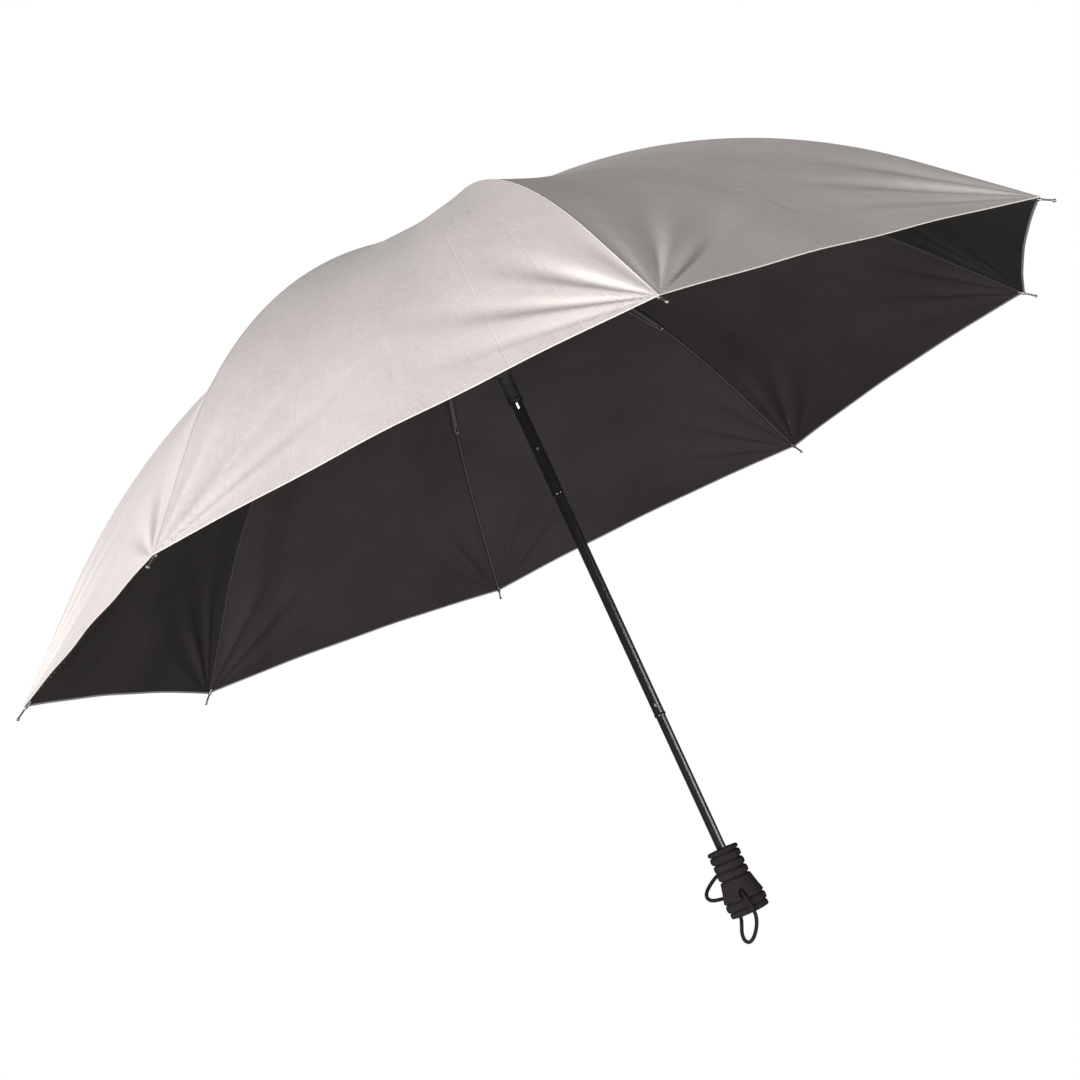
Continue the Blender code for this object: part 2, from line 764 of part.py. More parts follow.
def smooth_curve(points, spacing):
    """Points a spacing apart along a Catmull-Rom curve through the given ones."""
    padded = [2 * points[0] - points[1], *points, 2 * points[-1] - points[-2]]
    fine = []
    for a, b, c, d in zip(padded, padded[1:], padded[2:], padded[3:]):
        for i in range(20):
            t = i / 20
            bend = 2 * a - 5 * b + 4 * c - d
            twist = 3 * b - a - 3 * c + d
            fine.append(0.5 * (2 * b + (c - a) * t + bend * t**2 + twist * t**3))
    fine.append(points[-1])
    lengths = [0.0]
    for a, b in zip(fine, fine[1:]):
        lengths.append(lengths[-1] + (b - a).length)
    count = max(2, round(lengths[-1] / spacing))
    result = []
    index = 0
    for i in range(count + 1):
        target = lengths[-1] * i / count
        while index < len(fine) - 2 and lengths[index + 1] < target:
            index += 1
        share = (target - lengths[index]) / (lengths[index + 1] - lengths[index])
        result.append(fine[index].lerp(fine[index + 1], share))
    return result


def cord(name, route, finish):
    """A loop of cord as a round tube with closed ends."""
    curve = bpy.data.curves.new(name, "CURVE")
    curve.dimensions = "3D"
    curve.bevel_depth = CORD_RADIUS
    curve.bevel_resolution = 2
    curve.use_fill_caps = True
    points = smooth_curve([grip_point(*spot) for spot in route], CORD_SPACING)
    spline = curve.splines.new("POLY")
    spline.points.add(len(points) - 1)
    for slot, point in zip(spline.points, points):
        slot.co = (*point, 1)
    curve.materials.append(finish)
    made = bpy.data.objects.new(name, curve)
    bpy.context.scene.collection.objects.link(made)


# The whole object
def build_shaft(black, steel, plastic):
    upper = cut(
        tube("upper_tube", UPPER_TUBE, UPPER_TUBE_END, UPPER_TUBE_TOP),
        button_hole(UPPER_BUTTON_Z),
        catch_slot(),
    )
    place("upper_tube", upper, black)
    middle = cut(
        tube("mid_tube", MID_TUBE, MID_TUBE_END, MID_TUBE_TOP),
        button_hole(UPPER_BUTTON_Z),
        button_hole(LOWER_BUTTON_Z),
    )
    place("mid_tube", middle, black)
    bottom = GRIP_TOP_Z - GRIP_CORE_TO + 0.004 + 2 * FIT_GAP
    lower = cut(tube("lower_tube", LOWER_TUBE, bottom, LOWER_TUBE_TOP), button_hole(LOWER_BUTTON_Z))
    place("lower_tube", lower, black)
    place("upper_button", button("upper_button", MID_TUBE, UPPER_TUBE[0], UPPER_BUTTON_Z), steel)
    place("lower_button", button("lower_button", LOWER_TUBE, MID_TUBE[0], LOWER_BUTTON_Z), steel)
    place("runner_catch", runner_catch(), steel)
    place("crown", crown(), plastic)
    place("crown_wire", wire_ring("crown_wire", CROWN_WIRE_RADIUS, CROWN_PIVOT_Z), steel)
    place("runner", runner(), plastic)
    place("runner_wire", wire_ring("runner_wire", RUNNER_WIRE_RADIUS, RUNNER_PIVOT_Z), steel)
    place("canopy_washer", canopy_washer(), plastic)
    place("top_cap", top_cap(), plastic)


def build_ribs(steel):
    kinds = [
        ("top_rib", top_rib(), CROWN_PIVOT, TOP_RIB_ANGLE),
        ("mid_rib", mid_rib(), INNER_JOINT, MID_RIB_ANGLE),
        ("outer_rib", outer_rib(), OUTER_JOINT, OUTER_RIB_ANGLE),
        ("stretcher", stretcher(), RUNNER_PIVOT, STRETCHER_ANGLE),
    ]
    for name, mesh, pivot, angle in kinds:
        for i in range(RIBS):
            azimuth = 2 * math.pi * i / RIBS
            spot = (pivot.x * math.cos(azimuth), pivot.x * math.sin(azimuth), pivot.y)
            place(f"{name}_{i + 1}", mesh, steel, spot, (0, -angle, azimuth))


def build_canopy(fabric):
    mesh = canopy_panel()
    for i in range(RIBS):
        place(f"canopy_panel_{i + 1}", mesh, fabric, rotation=(0, 0, 2 * math.pi * i / RIBS))


def build_grip(foam, plastic, braid):
    place("grip_foam", grip_foam(), foam)
    place("grip_core", grip_core(), plastic)
    place("grip_end_cap", grip_end_cap(), plastic)
    cord("wrist_cord_lower", LOWER_LOOP, braid)
    cord("wrist_cord_side", SIDE_LOOP, braid)


def build():
    clear_scene()
    black = material("shaft_black", (0.03, 0.028, 0.027), 0.25, 0.6)
    steel = material("rib_steel", (0.10, 0.095, 0.09), 0.35, 0.9)
    plastic = material("black_plastic", (0.03, 0.03, 0.03), 0.45, 0.0)
    fabric = material("silver_fabric", (0.66, 0.64, 0.63), 0.45, 0.3)
    foam = material("grip_foam", (0.045, 0.04, 0.04), 0.9, 0.0)
    braid = material("cord_black", (0.02, 0.018, 0.017), 0.8, 0.0)
    build_shaft(black, steel, plastic)
    build_ribs(steel)
    build_canopy(fabric)
    build_grip(foam, plastic, braid)


build()
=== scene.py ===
"""Cloth, tips, wires, grip, cords and finishes for a folding umbrella reflector, around its frame.

Metres, +Z up the shaft. Rib 1 points along +X and the others follow anticlockwise. The cloth is
cut into one strip for each length of each rib, so that it folds up with the ribs it is sewn to.
"""

import json
import math

import bpy
import numpy as np
from bpy.props import FloatProperty, FloatVectorProperty, IntProperty, PointerProperty
from mathutils import Matrix, Vector


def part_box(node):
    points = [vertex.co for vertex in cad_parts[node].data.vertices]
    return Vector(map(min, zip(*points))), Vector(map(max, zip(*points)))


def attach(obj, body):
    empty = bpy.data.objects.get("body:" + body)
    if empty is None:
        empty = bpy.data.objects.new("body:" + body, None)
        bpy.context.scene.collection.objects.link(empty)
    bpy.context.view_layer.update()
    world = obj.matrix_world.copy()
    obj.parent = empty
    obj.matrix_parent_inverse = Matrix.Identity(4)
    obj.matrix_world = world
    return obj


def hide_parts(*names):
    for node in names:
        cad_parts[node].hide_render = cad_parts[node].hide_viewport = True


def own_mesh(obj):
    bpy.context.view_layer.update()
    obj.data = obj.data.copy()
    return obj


bl_info = {
    "name": "Umbrella Reflector",
    "version": (1, 0, 0),
    "blender": (4, 5, 0),
    "location": "3D View > Sidebar > Umbrella",
    "description": "Covers and finishes the frame of a folding umbrella reflector",
    "category": "Object",
}

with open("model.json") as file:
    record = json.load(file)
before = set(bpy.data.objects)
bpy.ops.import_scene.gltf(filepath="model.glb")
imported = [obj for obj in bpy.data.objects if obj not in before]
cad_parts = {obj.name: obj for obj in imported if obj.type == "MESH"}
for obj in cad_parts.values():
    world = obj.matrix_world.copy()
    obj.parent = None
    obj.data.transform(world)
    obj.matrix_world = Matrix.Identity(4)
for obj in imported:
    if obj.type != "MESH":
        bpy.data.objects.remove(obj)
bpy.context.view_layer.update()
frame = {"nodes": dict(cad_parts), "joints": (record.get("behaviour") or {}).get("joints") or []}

RIBS = 8
GORE = 2 * math.pi / RIBS
CAP_LOW, CAP_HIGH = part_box("top_cap")
GRIP_LOW, GRIP_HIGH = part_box("grip_foam")
WHITE = (1, 1, 1, 1)


# Settings
class UmbrellaCanopySettings(bpy.types.PropertyGroup):
    """Sizes of the cloth."""

    radius: FloatProperty(
        name="Tip radius", description="From the shaft to a rib's tip", default=0.5, unit="LENGTH"
    )
    rise: FloatProperty(
        name="Rise", description="From the tips up to the cloth's top", default=0.261, unit="LENGTH"
    )
    dome_radius: FloatProperty(
        name="Dome radius", description="Radius of the round part", default=0.585, unit="LENGTH"
    )
    tips_height: FloatProperty(
        name="Tips' height", description="Height of the rib tips", default=0.320, unit="LENGTH"
    )
    corner: FloatProperty(
        name="Corner", description="From the shaft to a corner of the cloth", default=0.492, unit="LENGTH"
    )
    scallop: FloatProperty(
        name="Scallop", description="How far the hem curves in between ribs", default=0.0045, unit="LENGTH"
    )
    sag: FloatProperty(
        name="Sag", description="How far a gore lies below its chord", default=0.009, unit="LENGTH"
    )
    hole: FloatProperty(
        name="Hole", description="Radius of the hole round the cap's stem", default=0.007, unit="LENGTH"
    )
    inner_cut: FloatProperty(
        name="Inner joint", description="Radius of the inner rib joint", default=0.170, unit="LENGTH"
    )
    outer_cut: FloatProperty(
        name="Outer joint", description="Radius of the outer rib joint", default=0.3225, unit="LENGTH"
    )
    thickness: FloatProperty(
        name="Thickness", description="Thickness of the cloth", default=0.0006, unit="LENGTH"
    )
    hem_width: FloatProperty(
        name="Hem", description="Width of the turned hem", default=0.007, unit="LENGTH"
    )
    hem_extra: FloatProperty(
        name="Hem's extra", description="What the hem adds to the thickness", default=0.0005, unit="LENGTH"
    )
    tip_folds: FloatProperty(
        name="Tip folds", description="Depth of the folds at the tips", default=0.0022, unit="LENGTH"
    )
    waves: FloatProperty(
        name="Waves", description="Depth of the long waves in a gore", default=0.0007, unit="LENGTH"
    )
    columns: IntProperty(
        name="Columns", description="Faces from a rib to the middle of a gore", default=56, min=4
    )
    row_height: FloatProperty(
        name="Row", description="Length of a face along the rib", default=0.0037, unit="LENGTH"
    )


class UmbrellaGripSettings(bpy.types.PropertyGroup):
    """Sizes of the grip and its cord."""

    ring_radius: FloatProperty(
        name="Ring", description="Radius of the neck's rings", default=0.0140, unit="LENGTH"
    )
    groove_radius: FloatProperty(
        name="Groove", description="Radius in the neck's grooves", default=0.0119, unit="LENGTH"
    )
    bell_radius: FloatProperty(
        name="Bell", description="Radius at the bell's lower edge", default=0.0183, unit="LENGTH"
    )
    bore: FloatProperty(
        name="Bore", description="Radius of the hole for the shaft", default=0.0047, unit="LENGTH"
    )
    end_bore: FloatProperty(
        name="End bore", description="Radius of the hole for the end cap", default=0.0045, unit="LENGTH"
    )
    cord_diameter: FloatProperty(
        name="Cord", description="Diameter of the wrist cord", default=0.0033, unit="LENGTH"
    )
    cord_hole: FloatProperty(
        name="Cord hole", description="Radius of the holes for the cord", default=0.0025, unit="LENGTH"
    )
    sides: IntProperty(name="Sides", description="Faces round the grip", default=72, min=12)


class UmbrellaFinishSettings(bpy.types.PropertyGroup):
    """Colours of the finishes."""

    silver: FloatVectorProperty(
        name="Silver", description="Outer face of the cloth", default=(0.76, 0.70, 0.675), subtype="COLOR"
    )
    lining: FloatVectorProperty(
        name="Lining", description="Inner face of the cloth", default=(0.035, 0.0312, 0.0298), subtype="COLOR"
    )
    enamel: FloatVectorProperty(
        name="Enamel", description="Paint on the shaft", default=(0.012, 0.011, 0.011), subtype="COLOR"
    )
    rib_steel: FloatVectorProperty(
        name="Rib steel", description="Ribs, stretchers, tips", default=(0.30, 0.285, 0.27), subtype="COLOR"
    )
    bright_steel: FloatVectorProperty(
        name="Bright steel", description="Rivets and buttons", default=(0.55, 0.52, 0.50), subtype="COLOR"
    )
    plastic: FloatVectorProperty(
        name="Plastic", description="Runner, crown and cap", default=(0.016, 0.015, 0.015), subtype="COLOR"
    )
    foam: FloatVectorProperty(
        name="Foam", description="The grip", default=(0.026, 0.0212, 0.0212), subtype="COLOR"
    )
    cord: FloatVectorProperty(
        name="Cord", description="The wrist cord", default=(0.016, 0.014, 0.013), subtype="COLOR"
    )


class UmbrellaStageSettings(bpy.types.PropertyGroup):
    """Camera, lights and floor."""

    lens: FloatProperty(
        name="Lens", description="Focal length in millimetres", default=60.335, subtype="DISTANCE_CAMERA"
    )
    floor_height: FloatProperty(
        name="Floor", description="Height of the floor", default=-0.9, unit="LENGTH"
    )
    key_power: FloatProperty(
        name="Key", description="Power of the key light", default=160.0, unit="POWER"
    )
    fill_power: FloatProperty(
        name="Fill", description="Power of the fill light", default=55.0, unit="POWER"
    )
    strip_power: FloatProperty(
        name="Strip", description="Power of the strip light", default=20.0, unit="POWER"
    )
    surround: FloatProperty(
        name="Surround", description="Brightness of the room", default=0.12, min=0.0
    )


# Finishes
class Wire:
    """One output of a shader node. Sums on it add their Math nodes."""

    def __init__(self, paint, socket):
        self.paint = paint
        self.socket = socket

    def maths(self, operation, *terms):
        made = self.paint.node("ShaderNodeMath", {"operation": operation}, dict(enumerate(terms)))
        return made["Value"]

    def __add__(self, other):
        return self.maths("ADD", self, other)

    __radd__ = __add__

    def __sub__(self, other):
        return self.maths("SUBTRACT", self, other)

    def __rsub__(self, other):
        return self.maths("SUBTRACT", other, self)

    def __mul__(self, other):
        return self.maths("MULTIPLY", self, other)

    __rmul__ = __mul__

    def __truediv__(self, other):
        return self.maths("DIVIDE", self, other)

    def __rtruediv__(self, other):
        return self.maths("DIVIDE", other, self)

    def __lt__(self, other):
        return self.maths("LESS_THAN", self, other)

    def __abs__(self):
        return self.maths("ABSOLUTE", self)

    def sine(self):
        return self.maths("SINE", self)

    def fraction(self):
        return self.maths("FRACT", self)


class Paint:
    """A material or a world in the making."""

    def __init__(self, owner):
        self.owner = owner
        owner.use_nodes = True
        self.tree = owner.node_tree
        self.tree.nodes.clear()

    def node(self, kind, settings=None, inputs=None):
        """Adds a node with its settings, then its inputs' values or links, and returns its outputs."""
        made = self.tree.nodes.new(kind)
        for name, value in (settings or {}).items():
            setattr(made, name, value)
        for key, value in (inputs or {}).items():
            socket = made.inputs[key] if isinstance(key, int) else named_socket(made.inputs, key)
            if isinstance(value, Wire):
                self.tree.links.new(value.socket, socket)
            else:
                socket.default_value = value
        return {socket.identifier: Wire(self, socket) for socket in made.outputs}

    def place(self):
        return self.node("ShaderNodeTexCoord")["Object"]

    def map(self, name):
        return self.node("ShaderNodeUVMap", {"uv_map": name})["UV"]

    def map_parts(self, name):
        """The two coordinates of one of the piece's UV maps."""
        parts = self.node("ShaderNodeSeparateXYZ", None, {"Vector": self.map(name)})
        return parts["X"], parts["Y"]

    def stretched(self, vector, scale):
        return self.node("ShaderNodeMapping", None, {"Vector": vector, "Scale": scale})["Vector"]

    def noise(self, vector, scale, detail=2.0):
        inputs = {"Vector": vector, "Scale": scale, "Detail": detail}
        return self.node("ShaderNodeTexNoise", None, inputs)["Fac"]

    def pores(self, vector, scale):
        return self.node("ShaderNodeTexVoronoi", None, {"Vector": vector, "Scale": scale})["Distance"]

    def ease(self, value, low, high):
        """0 below low and 1 above high, with a smooth step between."""
        inputs = {"Value": value, "From Min": low, "From Max": high}
        return self.node("ShaderNodeMapRange", {"interpolation_type": "SMOOTHSTEP"}, inputs)["Result"]

    def ridge(self, distance, width):
        """1 on a line and 0 a width away from it."""
        return 1 - self.ease(distance, 0.0, width)

    def blend(self, share, first, second):
        inputs = {"Factor_Float": share, "A_Color": colour(first), "B_Color": colour(second)}
        return self.node("ShaderNodeMix", {"data_type": "RGBA"}, inputs)["Result_Color"]

    def mix(self, share, first, second):
        return self.node("ShaderNodeMixShader", None, {0: share, 1: first, 2: second})["Shader"]

    def bump(self, height):
        """A surface raised by a height in metres."""
        inputs = {"Height": height, "Distance": 1.0, "Strength": 1.0}
        return self.node("ShaderNodeBump", None, inputs)["Normal"]

    def done(self, base, roughness, relief, others=None):
        """The finished material. Relief is the height of its surface in metres."""
        inputs = {"Base Color": base, "Roughness": roughness, "Normal": self.bump(relief)}
        shader = self.node("ShaderNodeBsdfPrincipled", None, inputs | (others or {}))["BSDF"]
        self.node("ShaderNodeOutputMaterial", None, {"Surface": shader})
        return self.owner


def named_socket(sockets, key):
    return next(socket for socket in sockets if key in (socket.identifier, socket.name))


def colour(value):
    return value if isinstance(value, Wire) else (*value[:3], 1.0)


def shade(value, factor):
    """A colour made darker or lighter."""
    return tuple(part * factor for part in value[:3])


# The cloth's threads, its hem and the stitches along that, in metres. Its creases lie at shares of
# a gore's half width and of the tip radius.
THREAD_GAP = 0.0009
HEM_LINE = 0.0066
STITCH_LINE = 0.0052
STITCH_GAP = 0.0026
STITCH_SHARE = 0.62
SILVER_EDGE = 0.0015
LONG_CREASES = (0.56, 0.27)
CROSS_CREASES = (0.655, 0.348)


def cloth_relief(paint, across, up):
    """The height of the cloth's threads, seams, hem, stitches and creases."""
    fold, reach = paint.map_parts("fold")
    thread_rate = 2 * math.pi / THREAD_GAP
    weave = (across * thread_rate).sine() * (up * thread_rate).sine()
    seam = paint.ridge(abs(across), 0.0014)
    hem_step = paint.ridge(abs(up - HEM_LINE), 0.0007)
    along_stitches = (across / STITCH_GAP).fraction() < STITCH_SHARE
    hem_stitch = paint.ridge(abs(up - STITCH_LINE), 0.0005) * along_stitches
    wide, narrow = (abs(abs(fold) - share) for share in LONG_CREASES)
    fold_lines = paint.ridge(wide, 0.006) + paint.ridge(narrow, 0.005)
    outer, inner = (abs(reach - share) for share in CROSS_CREASES)
    cross_lines = paint.ridge(outer, 0.004) + paint.ridge(inner, 0.004)
    crumple = paint.noise(paint.place(), 38.0, 3.0)
    return (
        weave * 0.000012
        + seam * 0.00022
        + hem_step * 0.00012
        - hem_stitch * 0.00016
        - fold_lines * 0.00007
        - cross_lines * 0.00005
        + crumple * 0.0007
    )


def silver_cloth(paint, finish):
    across, up = paint.map_parts("cloth")
    place = paint.place()
    grain = paint.noise(place, 950.0, 2.0)
    streaks = paint.noise(paint.stretched(paint.map("cloth"), (900, 60, 1)), 1.0)
    mottle = paint.noise(place, 14.0, 3.0)
    seam = paint.ridge(abs(abs(across) - 0.0013), 0.0007)
    shift = 0.52 * grain + 0.30 * streaks + 0.18 * mottle
    silver = finish.silver
    base = paint.blend(paint.ease(shift, 0.34, 0.66), shade(silver, 0.90), shade(silver, 1.06))
    base = paint.blend(seam * 0.35, base, shade(silver, 0.55))
    relief = cloth_relief(paint, across, up) + grain * 0.00004
    return paint.done(base, 0.56 + 0.14 * shift, relief, {"Metallic": 0.20 + 0.12 * grain})


def black_lining(paint, finish):
    across, up = paint.map_parts("cloth")
    place = paint.place()
    grain = paint.noise(place, 900.0, 2.0)
    mottle = paint.noise(place, 11.0, 3.0)
    shift = 0.6 * grain + 0.4 * mottle
    lining = finish.lining
    base = paint.blend(paint.ease(shift, 0.3, 0.7), shade(lining, 0.78), shade(lining, 1.25))
    edge = up < SILVER_EDGE
    # The silver band of the turned hem on the inside is real, but it is painted at 0.6 of the outer silver:
    # that darkening is painted shade.
    base = paint.blend(edge, base, shade(finish.silver, 0.6))
    relief = cloth_relief(paint, across, up) + grain * 0.00005
    others = {"Metallic": edge * 0.5, "Specular IOR Level": 0.1}
    return paint.done(base, 0.74 - edge * 0.26, relief, others)


def shaft_enamel(paint, finish):
    place = paint.place()
    ripple = paint.noise(paint.stretched(place, (1, 1, 0.35)), 420.0, 2.0)
    rubs = paint.noise(paint.stretched(place, (1, 1, 0.04)), 1500.0, 3.0)
    worn = paint.ease(rubs, 0.60, 0.78)
    base = paint.blend(worn * 0.35, finish.enamel, shade(finish.enamel, 3.2))
    others = {"Specular IOR Level": 0.5, "Coat Weight": 0.6 - 0.3 * worn, "Coat Roughness": 0.05}
    return paint.done(base, 0.15 + 0.14 * worn, ripple * 0.000012, others)


def steel(paint, base_colour, worn_colour, roughness):
    place = paint.place()
    specks = paint.noise(place, 650.0, 3.0)
    drawn = paint.noise(place, 1900.0, 2.0)
    wear = paint.ease(specks, 0.56, 0.74)
    base = paint.blend(wear, base_colour, worn_colour)
    rough = roughness + 0.12 * drawn - 0.08 * wear
    return paint.done(base, rough, drawn * 0.00001, {"Metallic": 0.9 + 0.08 * wear})


def rib_steel(paint, finish):
    return steel(paint, finish.rib_steel, shade(finish.rib_steel, 0.55), 0.26)


def bright_steel(paint, finish):
    return steel(paint, finish.bright_steel, shade(finish.bright_steel, 0.6), 0.18)


def black_plastic(paint, finish):
    place = paint.place()
    spark = paint.noise(place, 1600.0, 2.0)
    cloudy = paint.noise(place, 90.0, 3.0)
    base = paint.blend(paint.ease(cloudy, 0.35, 0.70), finish.plastic, shade(finish.plastic, 1.7))
    return paint.done(base, 0.36 + 0.16 * cloudy, spark * 0.00002, {"Specular IOR Level": 0.25})


def grip_foam(paint, finish):
    place = paint.place()
    cells = paint.pores(place, 1250.0)
    lumps = paint.noise(place, 260.0, 3.0)
    scuffs = paint.ease(paint.noise(place, 75.0, 4.0), 0.52, 0.75)
    cell_walls_and_pore_shade = paint.ease(cells, 0.20, 0.55)
    # The pores are painted at 0.62 of the foam and the cell walls at 1.12. The darker pores are painted
    # shade; the relief also sinks them.
    base = paint.blend(cell_walls_and_pore_shade, shade(finish.foam, 0.62), shade(finish.foam, 1.12))
    base = paint.blend(scuffs * 0.5, base, shade(finish.foam, 1.55))
    relief = cell_walls_and_pore_shade * 0.00016 + lumps * 0.00022
    return paint.done(base, 0.82 + 0.12 * lumps, relief, {"Specular IOR Level": 0.06})


# The cord's strands: crossings round it, and the distance between them along it
STRANDS = 8.0
STRAND_GAP = 0.0028


def braided_cord(paint, finish):
    """Strands that cross over each other round the cord: the map runs round it and along it."""
    around, along = paint.map_parts("braid")
    one_way = ((around * STRANDS + along / STRAND_GAP) * math.pi).sine()
    other_way = ((around * STRANDS - along / STRAND_GAP) * math.pi).sine()
    strands = abs(one_way * other_way)
    fuzz = paint.noise(paint.place(), 2600.0, 2.0)
    lit = paint.ease(strands + 0.4 * fuzz, 0.15, 1.1)
    base = paint.blend(lit, shade(finish.cord, 0.5), shade(finish.cord, 1.9))
    relief = strands * 0.00022 + fuzz * 0.00006
    return paint.done(base, 0.68 + 0.2 * fuzz, relief, {"Specular IOR Level": 0.12})


CLOTHS = (silver_cloth, black_lining, grip_foam, braided_cord)
HARD_FINISHES = (shaft_enamel, rib_steel, bright_steel, black_plastic)
FINISHES = {maker.__name__: maker for maker in CLOTHS + HARD_FINISHES}


def finish_named(name):
    """The finish of that name, made the first time it is asked for."""
    label = f"{name}_finish"
    made = bpy.data.materials.get(label)
    if made is None:
        paint = Paint(bpy.data.materials.new(label))
        made = FINISHES[name](paint, bpy.context.scene.umbrella_finishes)
    return made


# Steps of the modelling
def deselect():
    bpy.ops.object.select_all(action="DESELECT")


def take(piece):
    """Selects one piece alone and makes it the active one."""
    deselect()
    piece.select_set(True)
    bpy.context.view_layer.objects.active = piece


def settle(piece, matrix):
    """Moves a piece to its place and leaves its object at the origin, with its place in its mesh."""
    take(piece)
    piece.matrix_world = matrix @ piece.matrix_world
    bpy.context.view_layer.update()
    bpy.ops.object.transform_apply(location=True, rotation=True, scale=True)


def turned(name, outline, sides, ring=False):
    """A piece turned about the z axis from radii and heights. A ring's last edge joins its first."""
    deselect()
    radius, height = outline[0]
    bpy.ops.mesh.primitive_circle_add(vertices=sides, radius=radius, location=(0, 0, height))
    piece = bpy.context.active_object
    piece.name = name
    bpy.ops.object.transform_apply(location=True)
    bpy.ops.object.mode_set(mode="EDIT")
    bpy.ops.mesh.select_mode(type="EDGE")
    bpy.ops.mesh.select_all(action="SELECT")
    extrude = bpy.ops.mesh.extrude_edges_move
    if not ring:
        extrude = bpy.ops.mesh.extrude_region_move
        bpy.ops.mesh.edge_face_add()
    for (near, low), (far, high) in zip(outline, outline[1:]):
        extrude()
        bpy.ops.transform.translate(value=(0, 0, high - low))
        grow = far / near
        bpy.ops.transform.resize(value=(grow, grow, 1), center_override=(0, 0, high))
    if ring:
        bpy.ops.mesh.select_all(action="DESELECT")
        bpy.ops.mesh.select_non_manifold()
        bpy.ops.mesh.bridge_edge_loops()
    bpy.ops.mesh.select_all(action="SELECT")
    bpy.ops.mesh.normals_make_consistent(inside=False)
    bpy.ops.object.mode_set(mode="OBJECT")
    return piece


def smooth(piece, degrees):
    take(piece)
    bpy.ops.object.shade_smooth_by_angle(angle=math.radians(degrees))


def dress(piece, finish, body):
    """Gives a piece its finish and the body it rides on."""
    piece.data.materials.clear()
    piece.data.materials.append(finish_named(finish))
    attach(piece, body)


def copied(piece, name, matrix):
    """A copy with its own mesh, turned and moved into place."""
    take(piece)
    bpy.ops.object.duplicate()
    twin = bpy.context.active_object
    twin.name = name
    settle(twin, matrix)
    return twin


def discard(piece):
    take(piece)
    bpy.ops.object.delete()


def copy_to_ribs(pattern, places, finish, kind):
    """Puts a copy at each place on every rib, riding on its piece of a kind, and drops the pattern."""
    for rib in range(RIBS):
        for name, place in places.items():
            turn = Matrix.Rotation(GORE * rib, 4, "Z")
            piece = copied(pattern, f"{name}_{rib + 1}", turn @ place)
            dress(piece, finish, f"{kind}_{rib + 1}")
    discard(pattern)


# The cloth's shape
def bend_slope(canopy):
    """The slope where the cloth's round part meets its straight run to the tips."""
    fall = canopy.dome_radius - canopy.rise
    reach = math.hypot(canopy.radius, fall)
    return math.atan2(canopy.radius, fall) - math.acos(canopy.dome_radius / reach)


def cloth_slope(canopy, radius):
    return np.minimum(np.arcsin(np.minimum(radius / canopy.dome_radius, 1)), bend_slope(canopy))


def cloth_height(canopy, radius):
    """The cloth's height over a rib, at distances from the shaft."""
    steepest = bend_slope(canopy)
    bend = canopy.dome_radius * math.sin(steepest)
    centre = canopy.tips_height + canopy.rise - canopy.dome_radius
    dome = np.sqrt(canopy.dome_radius**2 - np.minimum(radius, bend) ** 2)
    return centre + dome - np.maximum(radius - bend, 0) * math.tan(steepest)


def hem_radius(canopy, side):
    return canopy.corner - canopy.scallop * (1 - side**2)


# Folds at a tip: the distances from the corner over which they grow and fade, the angle of their
# fan, and the wave's radians for each radian of it
FOLD_GROWTH = 0.05
FOLD_FADE = 0.085
FOLD_FAN = math.radians(74)
FOLD_RATE = 15.0


def cloth_wrinkles(canopy, gore, side, radius):
    """How far the cloth stands out or in at each point: folds from the tips, and long soft waves."""
    from_rib = (1 - np.abs(side)) * radius * math.sin(GORE / 2)
    from_corner = (canopy.corner - radius) / math.cos(bend_slope(canopy)) + 0.002
    distance = np.hypot(from_rib, from_corner)
    angle = np.arctan2(from_rib, from_corner)
    near_tip = (distance / FOLD_GROWTH) ** 1.4 * np.exp(-((distance / FOLD_FADE) ** 2))
    phase = 1.7 * gore
    sweep = FOLD_RATE * angle + phase + 2.3 * (side > 0) + 5 * distance
    folds = np.sin(sweep) + 0.22 * np.sin(2 * sweep + 1.1) + 0.4 * np.sin(9 * angle + 2.1 * phase)
    fan = np.sin(np.pi * np.clip(angle / FOLD_FAN, 0, 1)) ** 0.8
    tips = canopy.tip_folds * near_tip * fan * folds
    share = radius / canopy.radius
    belly = 1 - side**2
    pull = np.sin(3.1 * np.pi * side + phase) + 0.6 * np.sin(7.3 * side + 9 * share + 0.7 * phase)
    waves = canopy.waves * belly * pull * share * (1 - 0.4 * share)
    return tips + waves


def cloth_points(canopy, gore, side, radius, depth=0.0):
    """Points of a gore: side runs from -1 at one rib to 1 at the next, depth is below the outer face."""
    middle = GORE * (gore + 0.5)
    along = np.array([math.cos(middle), math.sin(middle)])
    across = np.array([-along[1], along[0]])
    slope = cloth_slope(canopy, radius)
    lift = cloth_wrinkles(canopy, gore, side, radius) - depth
    out = radius * math.cos(GORE / 2) + lift * np.sin(slope)
    span = side * radius * math.sin(GORE / 2)
    dip = canopy.sag * (1 - side**2) * np.sin(np.pi * radius / canopy.radius)
    height = cloth_height(canopy, radius) - dip + lift * np.cos(slope)
    flat = out[..., None] * along + span[..., None] * across
    return np.concatenate([flat, height[..., None]], axis=-1)


def cloth_normals(canopy, gore, side, radius):
    """Unit normals of the outer face, from short steps either way."""
    out = 0.0004
    over = 0.003
    run = cloth_points(canopy, gore, side, radius + out) - cloth_points(canopy, gore, side, radius - out)
    sweep = cloth_points(canopy, gore, side + over, radius) - cloth_points(canopy, gore, side - over, radius)
    normal = np.cross(run, sweep)
    return normal / np.linalg.norm(normal, axis=-1, keepdims=True)


# How much closer the faces lie towards a rib and towards the hem, and how far the hem's edge is
# rounded out
RIB_CROWDING = 1.4
HEM_CROWDING = 1.25
HEM_BULGE = 0.0005


